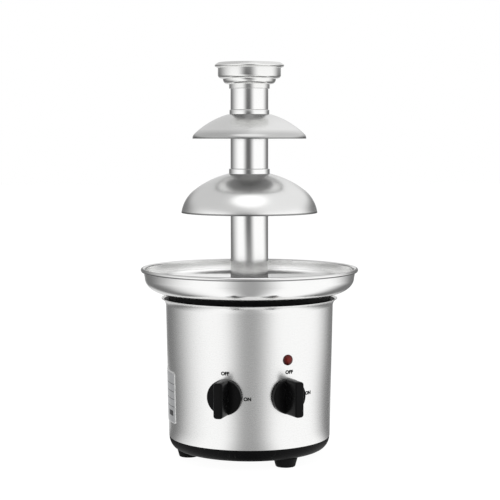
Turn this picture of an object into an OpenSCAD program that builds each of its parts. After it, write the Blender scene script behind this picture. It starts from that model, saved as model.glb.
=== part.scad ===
// Chocolate fountain: drum base, heated bowl, two-tier tower with a lift-out auger
// Millimetres. The origin is on the floor under the tower, +Z up, the knobs face -Y.
// Azimuths are measured from the front (-Y) towards +X.

/* [Base drum] */
// Height of the rubber feet
foot_h = 9; // [6:0.5:12]
// Radius of a foot where it meets the tray
foot_top_r = 12.25; // [11:0.25:14]
// Radius of a foot where it stands
foot_bottom_r = 9.5; // [8:0.25:10.5]
// How far the feet's centres lie inside the drum's bottom edge
foot_inset = 19.5; // [18:0.1:24]
// Height of the black tray
tray_h = 12.6; // [10:0.2:16]
// Thickness of the tray floor
tray_t = 2.5; // [2:0.1:4]
// How far the tray's rounded edge comes in
tray_round = 10; // [6:0.5:12]
// How far the tray's edge stays inside the drum's
tray_step = 0.2; // [0:0.1:1]
// Height of the tray's spigot inside the drum
tray_spigot_h = 7; // [5:0.5:12]
// Thickness of the tray's spigot
tray_wall = 2.2; // [1.6:0.1:3]
// Width of a vent slot in the tray
vent_w = 3; // [2:0.5:4]
// Length of a vent slot between its end rounds
vent_l = 22; // [12:1:30]
// Vent slots in each of the two rows
vent_count = 7; // [3:2:9]
// Spacing of the vent slots
vent_pitch = 6; // [5:0.5:8]
// Distance of each row of vents from the middle
vent_row = 22; // [18:0.5:26]
// Outer radius of the steel drum at its bottom edge
drum_bottom_r = 80.1; // [78:0.1:84]
// Outer radius of the steel drum below its flared lip
drum_top_r = 82.7; // [80:0.1:88]
// Height of the steel drum
drum_h = 136.7; // [130:0.1:160]
// Sheet thickness of the drum
drum_t = 0.8; // [0.6:0.1:1.2]
// How far the flared lip stands out
flare_w = 4.4; // [3:0.1:6]
// Bend radius of the flared lip
flare_r = 8; // [6.5:0.1:10]
// Gap between the inside of the drum and the insulating ring
ring_gap = 1.4; // [1:0.1:3]
// Height of the ring that shows between drum and bowl
ring_show = 5; // [3:0.1:8]
// Wall of the insulating ring
ring_wall = 3.5; // [2.5:0.1:5]
// Thickness of the ring's web, which the tie rods clamp
web_t = 4; // [3:0.1:5]
// Underside of the bowl to the underside of the web
web_drop = 8.3; // [8:0.1:12]
// Height of the ring's skirt below the web
ring_skirt_h = 8; // [4:0.5:14]

/* [Bowl] */
// Outer radius of the bowl over its rolled rim
bowl_r = 107.5; // [102:0.5:120]
// Depth inside the bowl, floor to rim
bowl_depth = 24; // [20:0.5:40]
// Sheet thickness of the bowl
bowl_t = 1.0; // [0.8:0.1:1.5]
// Section radius of the rolled rim
bead_r = 1.9; // [1.5:0.1:2.5]
// How far the wall's outside lies inside the middle of the rolled rim
bead_over = 0.8; // [0.2:0.1:1]
// How far the wall leans in from rim to corner
bowl_draft = 1.2; // [0.5:0.1:4]
// How far the flat underside reaches past the insulating ring
flat_edge = 0.1; // [0.1:0.1:4]
// Height of the rounded corner under the wall
bowl_corner_h = 15.5; // [8:0.1:17]

/* [Tower] */
// Outer radius of the tube sections
tube_r = 18.6; // [18:0.1:20]
// Wall of the tube sections
tube_t = 0.8; // [0.6:0.1:1]
// Bowl floor to the seat of the lower dome
lower_section_h = 116.7; // [90:0.1:150]
// Seat of the lower dome to the seat of the upper dome
middle_section_h = 58.3; // [50:0.1:80]
// Seat of the upper dome to the crown
top_section_h = 25.1; // [20:0.1:50]
// How far the lower socket collar stands out from the tube
lower_collar_w = 1.5; // [1.2:0.1:2.4]
// Height of the lower socket collar
lower_collar_h = 5; // [4:0.1:9]
// How far the upper socket collar stands out from the tube
upper_collar_w = 1; // [0.8:0.1:2.4]
// Height of the upper socket collar
upper_collar_h = 4.5; // [4:0.1:9]
// Width of the flat seat at the top of each dome
seat_w = 3; // [2.6:0.1:5]
// Radius of the lower dome
lower_dome_r = 67.5; // [62:0.1:80]
// Main curve radius of the lower dome
lower_dome_curve = 89.1; // [85:0.1:110]
// Edge curve radius of the lower dome
lower_dome_edge = 34; // [14:0.1:36]
// Height of the lower dome, rim to seat
lower_dome_h = 38.2; // [36:0.1:45]
// Radius of the upper dome
upper_dome_r = 56; // [50:0.1:60]
// Main curve radius of the upper dome
upper_dome_curve = 77.4; // [75:0.1:100]
// Edge curve radius of the upper dome
upper_dome_edge = 6; // [4:0.1:16]
// Height of the upper dome, rim to seat
upper_dome_h = 23.7; // [22:0.1:30]
// Sheet thickness of the domes
dome_t = 0.8; // [0.6:0.1:1.2]
// Number of locating pegs and of intake ports
peg_count = 3; // [3:1:4]
// Radius of a locating peg
peg_r = 2; // [1.5:0.1:2.5]
// Height of a locating peg
peg_h = 9; // [6:0.5:11]
// Gap between a locating peg and the lower tube
peg_gap = 0.4; // [0.3:0.1:1]
// Width of an intake port
port_w = 18; // [10:0.5:20]
// Height of an intake port
port_h = 10.5; // [6:0.5:14]

/* [Crown] */
// Height of the crown
crown_h = 25.6; // [22:0.1:32]
// How far the crown's neck stands out from the tube
crown_neck_w = 1.4; // [1:0.1:2.4]
// Height of the crown's neck
crown_neck_h = 4.5; // [2:0.1:5]
// How far the lower round stands out from the neck
crown_step_w = 6.1; // [4:0.1:8]
// Height of the lower round
crown_step_h = 5.1; // [3:0.1:6]
// How far the wall stands out from the lower round
crown_wall_w = 4.9; // [3:0.1:8]
// Height of the upper round
crown_round_h = 3.4; // [2:0.1:4]
// How far the drip lip stands out from the wall
crown_lip_w = 3.1; // [2:0.1:5]
// Radius at the lip's edge
crown_lip_r = 1.4; // [0.8:0.1:1.6]
// Height of the lip where it leaves the wall
crown_lip_h = 5.4; // [4.6:0.1:7]
// Depth of the lip's edge below the crown's top
crown_lip_drop = 3; // [2:0.1:3.4]
// Thickness of the crown's wall
crown_t = 1.6; // [1.2:0.1:2.4]
// Depth of the socket that takes the tube
crown_socket_h = 9.8; // [8:0.1:10.2]
// Thickness of the crown's floor over the socket
crown_floor_t = 2; // [1.5:0.1:3]
// Radius inside between the crown's floor and its wall
crown_fillet = 3; // [1:0.1:4]

/* [Auger and drive] */
// Gap between the auger's flight and the tube
flight_gap = 1.6; // [1:0.1:2.5]
// Rise of the flight in one turn
flight_pitch = 28; // [20:1:40]
// Thickness of the flight at its root
flight_root_t = 2.4; // [1.6:0.1:3]
// Thickness of the flight at its tip
flight_tip_t = 1.4; // [1:0.1:2]
// Wall of the auger's core round the shaft
core_wall = 2.45; // [2.2:0.05:3.5]
// Height of the auger's pointed top
tip_h = 7; // [4:0.5:12]
// How far the auger reaches into the crown
auger_reach = 12; // [8:0.1:14]
// Radius of the drive shaft
shaft_r = 5; // [4.6:0.1:5.6]
// Width of the shoulder that carries the auger
shoulder_w = 1; // [0.8:0.1:1.5]
// Length of the shaft's end in the auger
spigot_h = 20; // [14:1:30]
// Depth of the flat on the shaft's end
flat_depth = 1; // [0.6:0.1:1.4]
// Gear module
gear_m = 0.8; // [0.78:0.01:0.82]
// Teeth of the output gear
output_teeth = 64; // [56:4:68]
// Teeth of the idler's large gear
idler_teeth = 48; // [42:2:50]
// Teeth of the idler's small gear and of the motor pinion
pinion_teeth = 16; // [16:1:20]
// Thinning of each tooth flank, for backlash
flank_clear = 0.04; // [0.02:0.01:0.08]
// Face width of the output gear
output_face = 6.5; // [5:0.5:8]
// Face width of the idler's large gear
idler_face = 4.5; // [4:0.5:6]
// Radius of the idler's pin
pin_r = 2.5; // [2:0.1:3]
// Radius of the output gear's cross pin
cross_pin_r = 1.25; // [1:0.05:1.5]
// Wall of the bushes round the shaft
bush_wall = 2; // [1.5:0.1:2.5]
// Width of a bush's flange
bush_flange_w = 2; // [1.5:0.1:2.5]
// Thickness of a bush's flange
bush_flange_h = 1.5; // [1:0.1:2]
// Wall of the shaft seal round the shaft
seal_wall = 4; // [3:0.1:5]
// Width of the seal's flanges
seal_flange_w = 3; // [2:0.1:4]
// Thickness of each of the seal's flanges
seal_flange_h = 2; // [1.5:0.1:2.5]
// Top of the seal to the auger
auger_gap = 1.7; // [1:0.1:4]

/* [Motor] */
// Radius of the motor's can
can_r = 26; // [24:0.5:27]
// Height of the motor's can
can_h = 46; // [40:1:56]
// Wall of the motor's can
can_t = 1.2; // [1:0.1:2]
// Thickness of the motor's end cap
cap_t = 2; // [1.5:0.1:3]
// Radius of the motor's rotor
rotor_r = 14; // [12:0.5:15]
// Height of rotor and stator
rotor_h = 24; // [18:1:28]
// Gap between rotor and stator
air_gap = 0.6; // [0.4:0.1:1]
// Width of a stator slot
coil_w = 9; // [7:0.5:11]
// Radius of the motor's shaft
rotor_shaft_r = 2.5; // [2:0.1:3]
// Distance of the motor's screws inside its can
motor_screw_inset = 9; // [8:0.5:10]
// Radius of the motor's screws
motor_screw_r = 1.5; // [1.2:0.1:2]
// Radius of the cooling fan
fan_r = 23; // [18:0.5:24]
// Number of fan blades
fan_blades = 8; // [5:1:10]
// Height of the cooling fan
fan_h = 7; // [5:0.5:9]

/* [Heater] */
// Distance of the bowl's studs from the axis
stud_ring_r = 48; // [46:0.5:54]
// Radius of the bowl's studs
stud_r = 2; // [1.8:0.1:2.4]
// Thickness of the aluminium heater plate
heater_plate_t = 3; // [2:0.5:4]
// How far the heater plate reaches past the studs' ring
stud_edge = 6.5; // [5:0.5:7]
// How far the element's loop lies inside the studs' ring
element_inset = 11; // [9:0.5:12]
// Section radius of the heating element
element_r = 3.2; // [2.5:0.1:3.5]
// Opening of the element's loop, as an angle
element_gap = 26; // [20:1:40]
// Clamp plate to heat shield
shield_drop = 8.6; // [7:0.2:11]
// Heat shield to motor bracket
bracket_drop = 5; // [4:0.5:8]
// Sheet thickness of clamp plate and heat shield
thin_t = 0.8; // [0.6:0.1:1.2]
// Thickness of the motor bracket and of the gearbox plate
plate_t = 2; // [1.6:0.1:3]
// How far these two plates reach past the studs' ring
plate_edge = 8; // [7:0.5:9]
// Space between the motor bracket and the gearbox plate
gear_space = 15.5; // [15.5:0.5:20]
// Radius of the pillars between these two plates
pillar_r = 3.2; // [2.8:0.1:4]
// Distance of the pillars inside the plates' edge
pillar_inset = 6; // [5:0.5:7]
// Distance of the tie rods outside the plates' edge
rod_gap = 6; // [5:0.1:8]
// Radius of the tie rods
rod_r = 2; // [1.8:0.1:2.4]

/* [Controls] */
// Azimuth of each knob, left and right of the front
knob_az = 21.3; // [17:0.1:30]
// Height of the knobs above the floor
knob_z = 72.5; // [60:0.5:90]
// Radius of a knob's disc
knob_r = 16.9; // [15:0.1:20]
// Thickness of a knob's disc
knob_disc_t = 5; // [4.5:0.1:6]
// How far a knob stands out from its seat
knob_proud = 24; // [18:0.5:26]
// Width of the grip bar at its front
grip_w = 9; // [8.5:0.1:12]
// How much wider the grip bar is at the disc
grip_draft = 1; // [0:0.1:3]
// Gap between a knob and the drum
knob_gap = 0.5; // [0.4:0.1:2]
// Radius of a switch spindle
spindle_r = 3; // [2.5:0.1:3.2]
// How far a spindle reaches into its knob
spindle_reach = 15; // [10:0.5:17]
// Width of a switch body
switch_w = 24; // [20:0.5:28]
// Height of a switch body
switch_h = 30; // [24:0.5:34]
// Depth of a switch body
switch_d = 20; // [14:0.5:24]
// Wall of a switch's threaded neck
neck_wall = 1.9; // [1.5:0.1:2.4]
// Height of a switch's nut
switch_nut_h = 2.2; // [1.6:0.1:2.4]
// Height of the lamp above the knobs
lamp_rise = 34.5; // [30:0.5:45]
// Radius of the lamp's lens
lens_r = 5.2; // [4.5:0.1:6]
// How far the lens stands out
lens_proud = 3; // [2:0.1:4]
// Width of the lens's edge round its stem
lens_edge = 1.3; // [1:0.1:2]
// Length of the lamp's stem
stem_l = 9; // [7:0.5:12]
// Azimuth of the cord gland
gland_az = 150; // [140:1:165]
// Height of the cord gland
gland_z = 40; // [34:0.5:60]
// Bore radius of the cord gland
gland_bore_r = 3.6; // [3:0.1:4]
// Wall of the cord gland
gland_wall = 3.3; // [2.5:0.1:4]
// Length of the cord gland
gland_l = 16; // [14:0.5:22]
// How far the cord gland stands out
gland_proud = 6; // [4:0.5:10]
// Azimuth of the rating plate
label_az = -90; // [-110:1:-80]
// Width of the rating plate, as an angle
label_angle = 43.6; // [20:0.1:60]
// Lower edge of the rating plate
label_z = 38; // [30:0.5:60]
// Height of the rating plate
label_h = 51; // [20:0.5:60]
// Thickness of the rating plate
label_t = 0.4; // [0.3:0.05:0.6]

/* [Fasteners] */
// Radius of a foot screw
foot_screw_r = 1.7; // [1.5:0.1:2]
// Radius of the recess for a foot screw's head
foot_recess_r = 4.5; // [4:0.1:5]
// Depth of that recess
foot_recess_h = 4.5; // [3:0.5:5]
// Height of a foot screw's head
foot_head_h = 2; // [1.5:0.1:2.5]
// Radius of the tray's boss for a foot screw
foot_boss_r = 5; // [4:0.1:6]
// Height of the tray's boss for a foot screw
foot_boss_h = 9; // [8:0.5:12]
// Height of the tray's boss for a tie rod
rod_boss_h = 8; // [7:0.5:12]
// Wall of that boss round the nut's pocket
rod_boss_wall = 1.9; // [1.5:0.1:2.5]
// Height of a tie rod's nut
rod_nut_h = 3.2; // [2.4:0.1:4]
// Height of a stud's nut
stud_nut_h = 3; // [2.4:0.1:4]
// Bore to corner of the stud nuts, rod nuts and spacers
nut_wall = 2; // [1.8:0.1:2.6]
// Bore to corner of the weld nuts
weld_nut_wall = 2.2; // [1.8:0.1:3]
// Bore to corner of the switch nuts
switch_nut_wall = 2.1; // [1.8:0.1:3]
// Bore to corner of the gland's nut
gland_nut_wall = 3.5; // [2.5:0.1:4]

/* [Fits] */
// Radial clearance of a running or sliding fit
fit = 0.05; // [0.03:0.01:0.08]
// Play of loosely fitted pieces
play = 0.2; // [0.15:0.05:0.4]
// Clearance of a seat on a curved or leaning face
seat_gap = 0.1; // [0.05:0.05:0.3]

/* [Hidden] */
$fn = 64;
// How far a cut runs past a face
over = 1;
// Heights
tray_z = foot_h;
drum_z = tray_z + tray_h;
lip_z = drum_z + drum_h;
flare_angle = acos(1 - flare_w / flare_r);
flare_z = lip_z - flare_r * sin(flare_angle);
bowl_z = lip_z + ring_show;
floor_z = bowl_z + bowl_t;
rim_z = floor_z + bowl_depth;
lower_seat_z = floor_z + lower_section_h;
upper_seat_z = lower_seat_z + middle_section_h;
crown_z = upper_seat_z + top_section_h;
plate_z = bowl_z - heater_plate_t;
element_z = plate_z - element_r - fit;
clamp_z = element_z - element_r - fit - thin_t;
shield_z = clamp_z - shield_drop - thin_t;
bracket_z = shield_z - bracket_drop - plate_t;
gearbox_z = bracket_z - gear_space - plate_t;
web_z = bowl_z - web_drop;
// Radii from the axis
drum_taper = (drum_top_r - drum_bottom_r) / (flare_z - drum_z);
foot_ring_r = drum_bottom_r - foot_inset;
ring_r = drum_top_r - drum_t - ring_gap;
bore_r = tube_r - tube_t;
seat_r = tube_r + seat_w;
plate_r = stud_ring_r + plate_edge;
heater_plate_r = stud_ring_r + stud_edge;
element_ring_r = stud_ring_r - element_inset;
rod_ring_r = plate_r + rod_gap;
bush_r = shaft_r + bush_wall;
bush_flange_r = bush_r + bush_flange_w;
hub_r = shaft_r + 3;
seal_r = shaft_r + seal_wall;
seal_flange_r = seal_r + seal_flange_w;
plate_bore_r = seal_flange_r + 2;
// Azimuths
stud_az = [0, 120, 240];
rod_az = [60, 180, 300];
foot_az = [30, 150, 270];
// Gear centres and heights
idler_dir = 150;
motor_dir = 40;
output_pitch_r = gear_m * output_teeth / 2;
idler_pitch_r = gear_m * idler_teeth / 2;
pinion_pitch_r = gear_m * pinion_teeth / 2;
idler_xy = (output_pitch_r + pinion_pitch_r) * [cos(idler_dir), sin(idler_dir)];
motor_xy = idler_xy + (idler_pitch_r + pinion_pitch_r) * [cos(motor_dir), sin(motor_dir)];
bracket_clear = 2;
gear_step = 1.5;
output_z = bracket_z - bracket_clear - output_face;
idler_z = output_z - gear_step - idler_face;
hub_h = output_z - gearbox_z - plate_t - bush_flange_h;
cross_pin_z = output_z - hub_h / 2;
can_z = gearbox_z - can_h;
cap_z = can_z - cap_t;
// Auger
spigot_r = shaft_r - shoulder_w;
core_r = spigot_r + core_wall;
auger_z = floor_z + seal_flange_h + auger_gap;
auger_top_z = crown_z + auger_reach;

// Colours
steel = "#d4d6d8";
dull_steel = "#a9abad";
black = "#1b1b1c";
brass = "#b59a5a";
copper = "#a8693c";
white = "#eeeeea";

// Points of an arc about a centre, from one angle to another
function arc(centre, r, from, to, steps) = oval(centre, r, r, from, to, steps);

// Points of an arc with different half widths across and up
function oval(centre, rx, ry, from, to, steps) =
    [for (i = [0:steps]) let (a = from + (to - from) * i / steps)
        centre + [rx * cos(a), ry * sin(a)]];

// Left-hand normal of a path at one of its points
function normal_at(path, i) =
    let (a = path[max(i - 1, 0)], b = path[min(i + 1, len(path) - 1)], d = (b - a) / norm(b - a))
    [-d[1], d[0]];

// Closed outline of a sheet of one thickness that lies to the left of a path
function sheet(path, t) =
    concat(path, [for (i = [len(path) - 1:-1:0]) path[i] + t * normal_at(path, i)]);

// Outer radius of the drum below its lip
function drum_r(z) = drum_bottom_r + drum_taper * (z - drum_z);

// Distance from the axis at which a flat piece of radius r clears the drum
function drum_seat(z, r, gap) = drum_r(z) + r * abs(drum_taper) + gap;

// Local frame on the drum: x to the right, y up, z outwards
module at_azimuth(az, z) {
    rotate([0, 0, az]) translate([0, 0, z]) rotate([90, 0, 0]) children();
}

// Copies at several azimuths, at one distance from the axis
module ring_of(azimuths, r) {
    for (az = azimuths) rotate([0, 0, az]) translate([0, -r, 0]) children();
}

module at_height(z) {
    translate([0, 0, z]) children();
}

module tube(r, bore, h) {
    difference() {
        cylinder(h = h, r = r);
        at_height(-over) cylinder(h = h + 2 * over, r = bore);
    }
}

module hex_nut(r, bore, h) {
    difference() {
        cylinder(h = h, r = r, $fn = 6);
        at_height(-over) cylinder(h = h + 2 * over, r = bore);
    }
}

// Feet
module foot_pads() {
    color(black) ring_of(foot_az, foot_ring_r) difference() {
        cylinder(h = foot_h, r1 = foot_bottom_r, r2 = foot_top_r);
        at_height(-over) cylinder(h = foot_recess_h + over, r = foot_recess_r);
        at_height(-over) cylinder(h = foot_h + 2 * over, r = foot_screw_r + play);
    }
}

foot_hole_h = foot_boss_h - 1;
module foot_screws() {
    top = tray_z + foot_hole_h - 1;
    color(dull_steel) ring_of(foot_az, foot_ring_r) {
        at_height(foot_recess_h - foot_head_h) cylinder(h = foot_head_h, r = foot_recess_r - 1);
        at_height(foot_recess_h) cylinder(h = top - foot_recess_h, r = foot_screw_r);
    }
}

// Tray: a floor, a rounded edge, a ledge for the drum and a spigot inside it
rod_nut_r = rod_r + nut_wall;
rod_nut_sink = 0.8;
rod_pocket_r = rod_nut_r + 0.6;

module tray_profile() {
    middle = [drum_bottom_r - tray_round - tray_step, drum_z];
    outside = min(drum_r(drum_z), drum_r(drum_z + tray_spigot_h)) - drum_t - fit;
    inside = outside - tray_wall;
    edge = oval(middle, tray_round, tray_h, -90, 0, 10);
    inner_edge = oval(middle, inside - middle[0], tray_h - tray_t, 0, -90, 10);
    polygon(concat([[0, edge[0][1]]], edge,
        [[outside, drum_z], [outside, drum_z + tray_spigot_h], [inside, drum_z + tray_spigot_h]],
        inner_edge, [[0, inner_edge[10][1]]]));
}

module base_tray() {
    color(black) difference() {
        union() {
            rotate_extrude() tray_profile();
            ring_of(foot_az, foot_ring_r) at_height(tray_z + tray_t / 2)
                cylinder(h = foot_boss_h - tray_t / 2, r = foot_boss_r);
            ring_of(rod_az, rod_ring_r) at_height(tray_z + tray_t / 2)
                cylinder(h = rod_boss_h - tray_t / 2, r = rod_pocket_r + rod_boss_wall);
        }
        ring_of(foot_az, foot_ring_r) at_height(tray_z - over)
            cylinder(h = foot_hole_h + over, r = foot_screw_r + fit);
        ring_of(rod_az, rod_ring_r) at_height(tray_z - over) {
            cylinder(h = rod_boss_h + 2 * over, r = rod_r + play);
            cylinder(h = rod_nut_sink + rod_nut_h + over, r = rod_pocket_r);
        }
        for (i = [0:vent_count - 1], side = [-1, 1])
            translate([(i - (vent_count - 1) / 2) * vent_pitch, side * vent_row, tray_z - over])
                vent_slot(tray_t + 2 * over);
    }
}

module vent_slot(h) {
    translate([-vent_w / 2, -vent_l / 2, 0]) cube([vent_w, vent_l, h]);
    for (end = [-1, 1]) translate([0, end * vent_l / 2, 0]) cylinder(h = h, r = vent_w / 2);
}

// Drum: one sheet, with a flared lip
neck_r = spindle_r + neck_wall;
stem_r = lens_r - lens_edge;
lamp_z = knob_z + lamp_rise;
gland_neck_r = gland_bore_r + gland_wall;

module drum_hole(az, z, r) {
    at_azimuth(az, z) at_height(drum_bottom_r / 2) cylinder(h = drum_bottom_r, r = r + play);
}

module drum_shell() {
    path = concat([[drum_bottom_r, drum_z]],
        arc([drum_top_r + flare_r, flare_z], flare_r, 180, 180 - flare_angle, 8));
    color(steel) difference() {
        rotate_extrude() polygon(sheet(path, drum_t));
        drum_hole(-knob_az, knob_z, neck_r);
        drum_hole(knob_az, knob_z, neck_r);
        drum_hole(knob_az, lamp_z, stem_r);
        drum_hole(gland_az, gland_z, gland_neck_r);
    }
}

// Insulating ring: a wall under the bowl, a cone that sits in the drum's lip, a web below
cone_top = 135;
cone_bottom = 175;
web_reach = 5.5;

module insulating_ring() {
    cone = arc([drum_top_r + flare_r, flare_z], flare_r + drum_t + play, cone_top, cone_bottom, 5);
    inside = ring_r - ring_wall;
    outline = concat([[inside, bowl_z], [ring_r, bowl_z], [ring_r, cone[0][1]]], cone,
        [[ring_r, flare_z], [ring_r, web_z - ring_skirt_h], [inside, web_z - ring_skirt_h],
         [inside, web_z], [rod_ring_r - web_reach, web_z], [rod_ring_r - web_reach, web_z + web_t],
         [inside, web_z + web_t]]);
    color(black) difference() {
        rotate_extrude() polygon(outline);
        ring_of(rod_az, rod_ring_r) at_height(web_z - over)
            cylinder(h = web_t + 2 * over, r = rod_r + play);
    }
}

// Bowl: flat floor, rounded corner, leaning wall and rolled rim
module bowl() {
    bead = [bowl_r - bead_r, rim_z - bead_r];
    wall_r = bead[0] - bead_over;
    flat_r = ring_r + flat_edge;
    corner = [flat_r, bowl_z + bowl_corner_h];
    path = concat([[seal_r + fit, bowl_z]],
        oval(corner, wall_r - bowl_draft - flat_r, bowl_corner_h, -90, 0, 12), [[wall_r, bead[1]]]);
    color(steel) rotate_extrude() union() {
        polygon(sheet(path, bowl_t));
        translate(bead) circle(bead_r);
    }
}

module tower_pegs() {
    color(steel) ring_of([for (i = [0:peg_count - 1]) i * 360 / peg_count],
        tube_r + peg_gap + peg_r) at_height(floor_z) {
            cylinder(h = peg_h - peg_r, r = peg_r);
            at_height(peg_h - peg_r) sphere(r = peg_r);
        }
}

stud_over = 1.6;
module bowl_studs() {
    bottom = bracket_z - stud_nut_h - stud_over;
    color(dull_steel) ring_of(stud_az, stud_ring_r) at_height(bottom)
        cylinder(h = bowl_z - bottom, r = stud_r);
}

module weld_nuts() {
    h = web_drop - web_t;
    color(dull_steel) ring_of(rod_az, rod_ring_r) at_height(bowl_z - h)
        hex_nut(rod_r + weld_nut_wall, rod_r + fit, h);
}

rod_end_gap = 0.5;
module tie_rods() {
    bottom = tray_z + rod_nut_sink / 2;
    color(dull_steel) ring_of(rod_az, rod_ring_r) at_height(bottom)
        cylinder(h = bowl_z - rod_end_gap - bottom, r = rod_r);
}

module tie_rod_nuts() {
    color(dull_steel) ring_of(rod_az, rod_ring_r) at_height(tray_z + rod_nut_sink)
        hex_nut(rod_nut_r, rod_r + fit, rod_nut_h);
}

// Heater stack under the bowl
module stud_holes(z, t) {
    ring_of(stud_az, stud_ring_r) at_height(z - over) cylinder(h = t + 2 * over, r = stud_r + play);
}

module heater_plate() {
    color(dull_steel) difference() {
        at_height(plate_z) tube(heater_plate_r, plate_bore_r, heater_plate_t);
        stud_holes(plate_z, heater_plate_t);
    }
}

element_leg_h = 9;
module heating_element() {
    color(dull_steel) {
        rotate([0, 0, -90 + element_gap / 2]) rotate_extrude(angle = 360 - element_gap)
            translate([element_ring_r, element_z]) circle(element_r);
        ring_of([-element_gap / 2, element_gap / 2], element_ring_r) at_height(element_z) {
            sphere(r = element_r);
            at_height(-element_leg_h) cylinder(h = element_leg_h, r = element_r * 0.8);
        }
    }
}

clamp_edge = 2;
clamp_reach = 6;
clamp_slot_w = 30;
clamp_slot_l = 12;
module heater_clamp() {
    color(steel) difference() {
        at_height(clamp_z) tube(heater_plate_r - clamp_edge, element_ring_r - clamp_reach, thin_t);
        stud_holes(clamp_z, thin_t);
        translate([-clamp_slot_w / 2, -element_ring_r - clamp_slot_l / 2 + over, clamp_z - over])
            cube([clamp_slot_w, clamp_slot_l, thin_t + 2 * over]);
    }
}

// Frame under the heater plate, its z pointing down
thermo_r = 8;
module at_plate(az) {
    rotate([0, 0, az]) translate([0, -(plate_bore_r + thermo_r + 1), plate_z])
        rotate([180, 0, 0]) children();
}

thermo_base_h = 3;
thermo_cap_h = 5;
thermo_tab = [3, 0.8, 5];
module thermostat() {
    color(white) at_plate(90) {
        cylinder(h = thermo_base_h, r = thermo_r);
        at_height(thermo_base_h) cylinder(h = thermo_cap_h, r = thermo_r - 1.5);
        for (side = [-1, 1])
            translate([side * thermo_r / 2 - thermo_tab[0] / 2, -thermo_tab[1] / 2,
                thermo_base_h + thermo_cap_h]) cube(thermo_tab);
    }
}

fuse_r = 2.2;
fuse_l = 16;
module thermal_fuse() {
    color("#d9c9a0") at_plate(-90) {
        translate([0, -fuse_l / 2, fuse_r]) rotate([-90, 0, 0]) cylinder(h = fuse_l, r = fuse_r);
        translate([-3, -1.5, 0]) cube([6, 3, fuse_r]);
    }
}

shield_rim_h = 5;
module heat_shield() {
    color(steel) difference() {
        at_height(shield_z) union() {
            tube(heater_plate_r, bush_flange_r + 3, thin_t);
            tube(heater_plate_r, heater_plate_r - thin_t, shield_rim_h);
        }
        stud_holes(shield_z, thin_t);
    }
}

module stud_spacer(bottom, top) {
    at_height(bottom) tube(stud_r + nut_wall, stud_r + play, top - bottom);
}

module stud_spacers() {
    color(dull_steel) ring_of(stud_az, stud_ring_r) {
        stud_spacer(clamp_z + thin_t, plate_z);
        stud_spacer(shield_z + thin_t, clamp_z);
        stud_spacer(bracket_z + plate_t, shield_z);
    }
}

module stud_nuts() {
    color(dull_steel) ring_of(stud_az, stud_ring_r) at_height(bracket_z - stud_nut_h)
        hex_nut(stud_r + nut_wall, stud_r + fit, stud_nut_h);
}

// Gearbox plates, pillars and bushes
pillar_angles = [65, 185, 245, 335];
rivet_r = pillar_r - 1.4;
rivet_head_h = 0.8;

module at_pillars() {
    for (a = pillar_angles) rotate([0, 0, a]) translate([plate_r - pillar_inset, 0, 0]) children();
}

module at_motor_screws() {
    for (side = [-90, 90]) translate(motor_xy) rotate([0, 0, motor_dir + side])
        translate([can_r - motor_screw_inset, 0, 0]) children();
}

module gear_plate(z) {
    hole_h = plate_t + 2 * over;
    difference() {
        at_height(z) cylinder(h = plate_t, r = plate_r);
        at_height(z - over) {
            cylinder(h = hole_h, r = bush_r + fit);
            translate(idler_xy) cylinder(h = hole_h, r = pin_r + fit);
            at_pillars() cylinder(h = hole_h, r = rivet_r + fit);
        }
    }
}

module motor_bracket() {
    color(steel) difference() {
        gear_plate(bracket_z);
        stud_holes(bracket_z, plate_t);
    }
}

rotor_hole_gap = 1.5;
module gearbox_plate() {
    color(steel) difference() {
        gear_plate(gearbox_z);
        at_height(gearbox_z - over) {
            translate(motor_xy)
                cylinder(h = plate_t + 2 * over, r = rotor_shaft_r + rotor_hole_gap);
            at_motor_screws() cylinder(h = plate_t + 2 * over, r = motor_screw_r + play);
        }
    }
}

module gearbox_pillars() {
    color(dull_steel) at_pillars() {
        at_height(gearbox_z + plate_t) cylinder(h = gear_space, r = pillar_r);
        at_height(gearbox_z - rivet_head_h)
            cylinder(h = gear_space + 2 * plate_t + 2 * rivet_head_h, r = rivet_r);
    }
}

module idler_pin() {
    color(dull_steel) translate([idler_xy[0], idler_xy[1], gearbox_z])
        cylinder(h = gear_space + 2 * plate_t, r = pin_r);
}

// Flanged bush in a plate at height z, reaching below the plate if need be
module flanged_bush(z, below) {
    h = below + plate_t;
    color(brass) at_height(z - below) difference() {
        union() {
            cylinder(h = h, r = bush_r);
            at_height(h) cylinder(h = bush_flange_h, r = bush_flange_r);
        }
        at_height(-over) cylinder(h = h + bush_flange_h + 2 * over, r = shaft_r + fit);
    }
}

bush_below = 1.2;
module shaft_bush() flanged_bush(bracket_z, bush_below);
module foot_bush() flanged_bush(gearbox_z, 0);

module shaft_seal() {
    h = bowl_t + 2 * seal_flange_h;
    color("#b8b4ae") at_height(bowl_z - seal_flange_h) difference() {
        union() {
            cylinder(h = h, r = seal_r);
            cylinder(h = seal_flange_h, r = seal_flange_r);
            at_height(h - seal_flange_h) cylinder(h = seal_flange_h, r = seal_flange_r);
        }
        at_height(-over) cylinder(h = h + 2 * over, r = shaft_r + fit);
    }
}

// Motor
module at_motor(z) {
    translate([motor_xy[0], motor_xy[1], z]) children();
}

module motor_can() {
    color(dull_steel) difference() {
        at_motor(can_z) difference() {
            cylinder(h = can_h, r = can_r);
            at_height(-over) cylinder(h = can_h - can_t + over, r = can_r - can_t);
            cylinder(h = can_h + over, r = rotor_shaft_r + fit);
        }
        at_motor_screws() at_height(can_z) cylinder(h = can_h + over, r = motor_screw_r + fit);
    }
}

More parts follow.
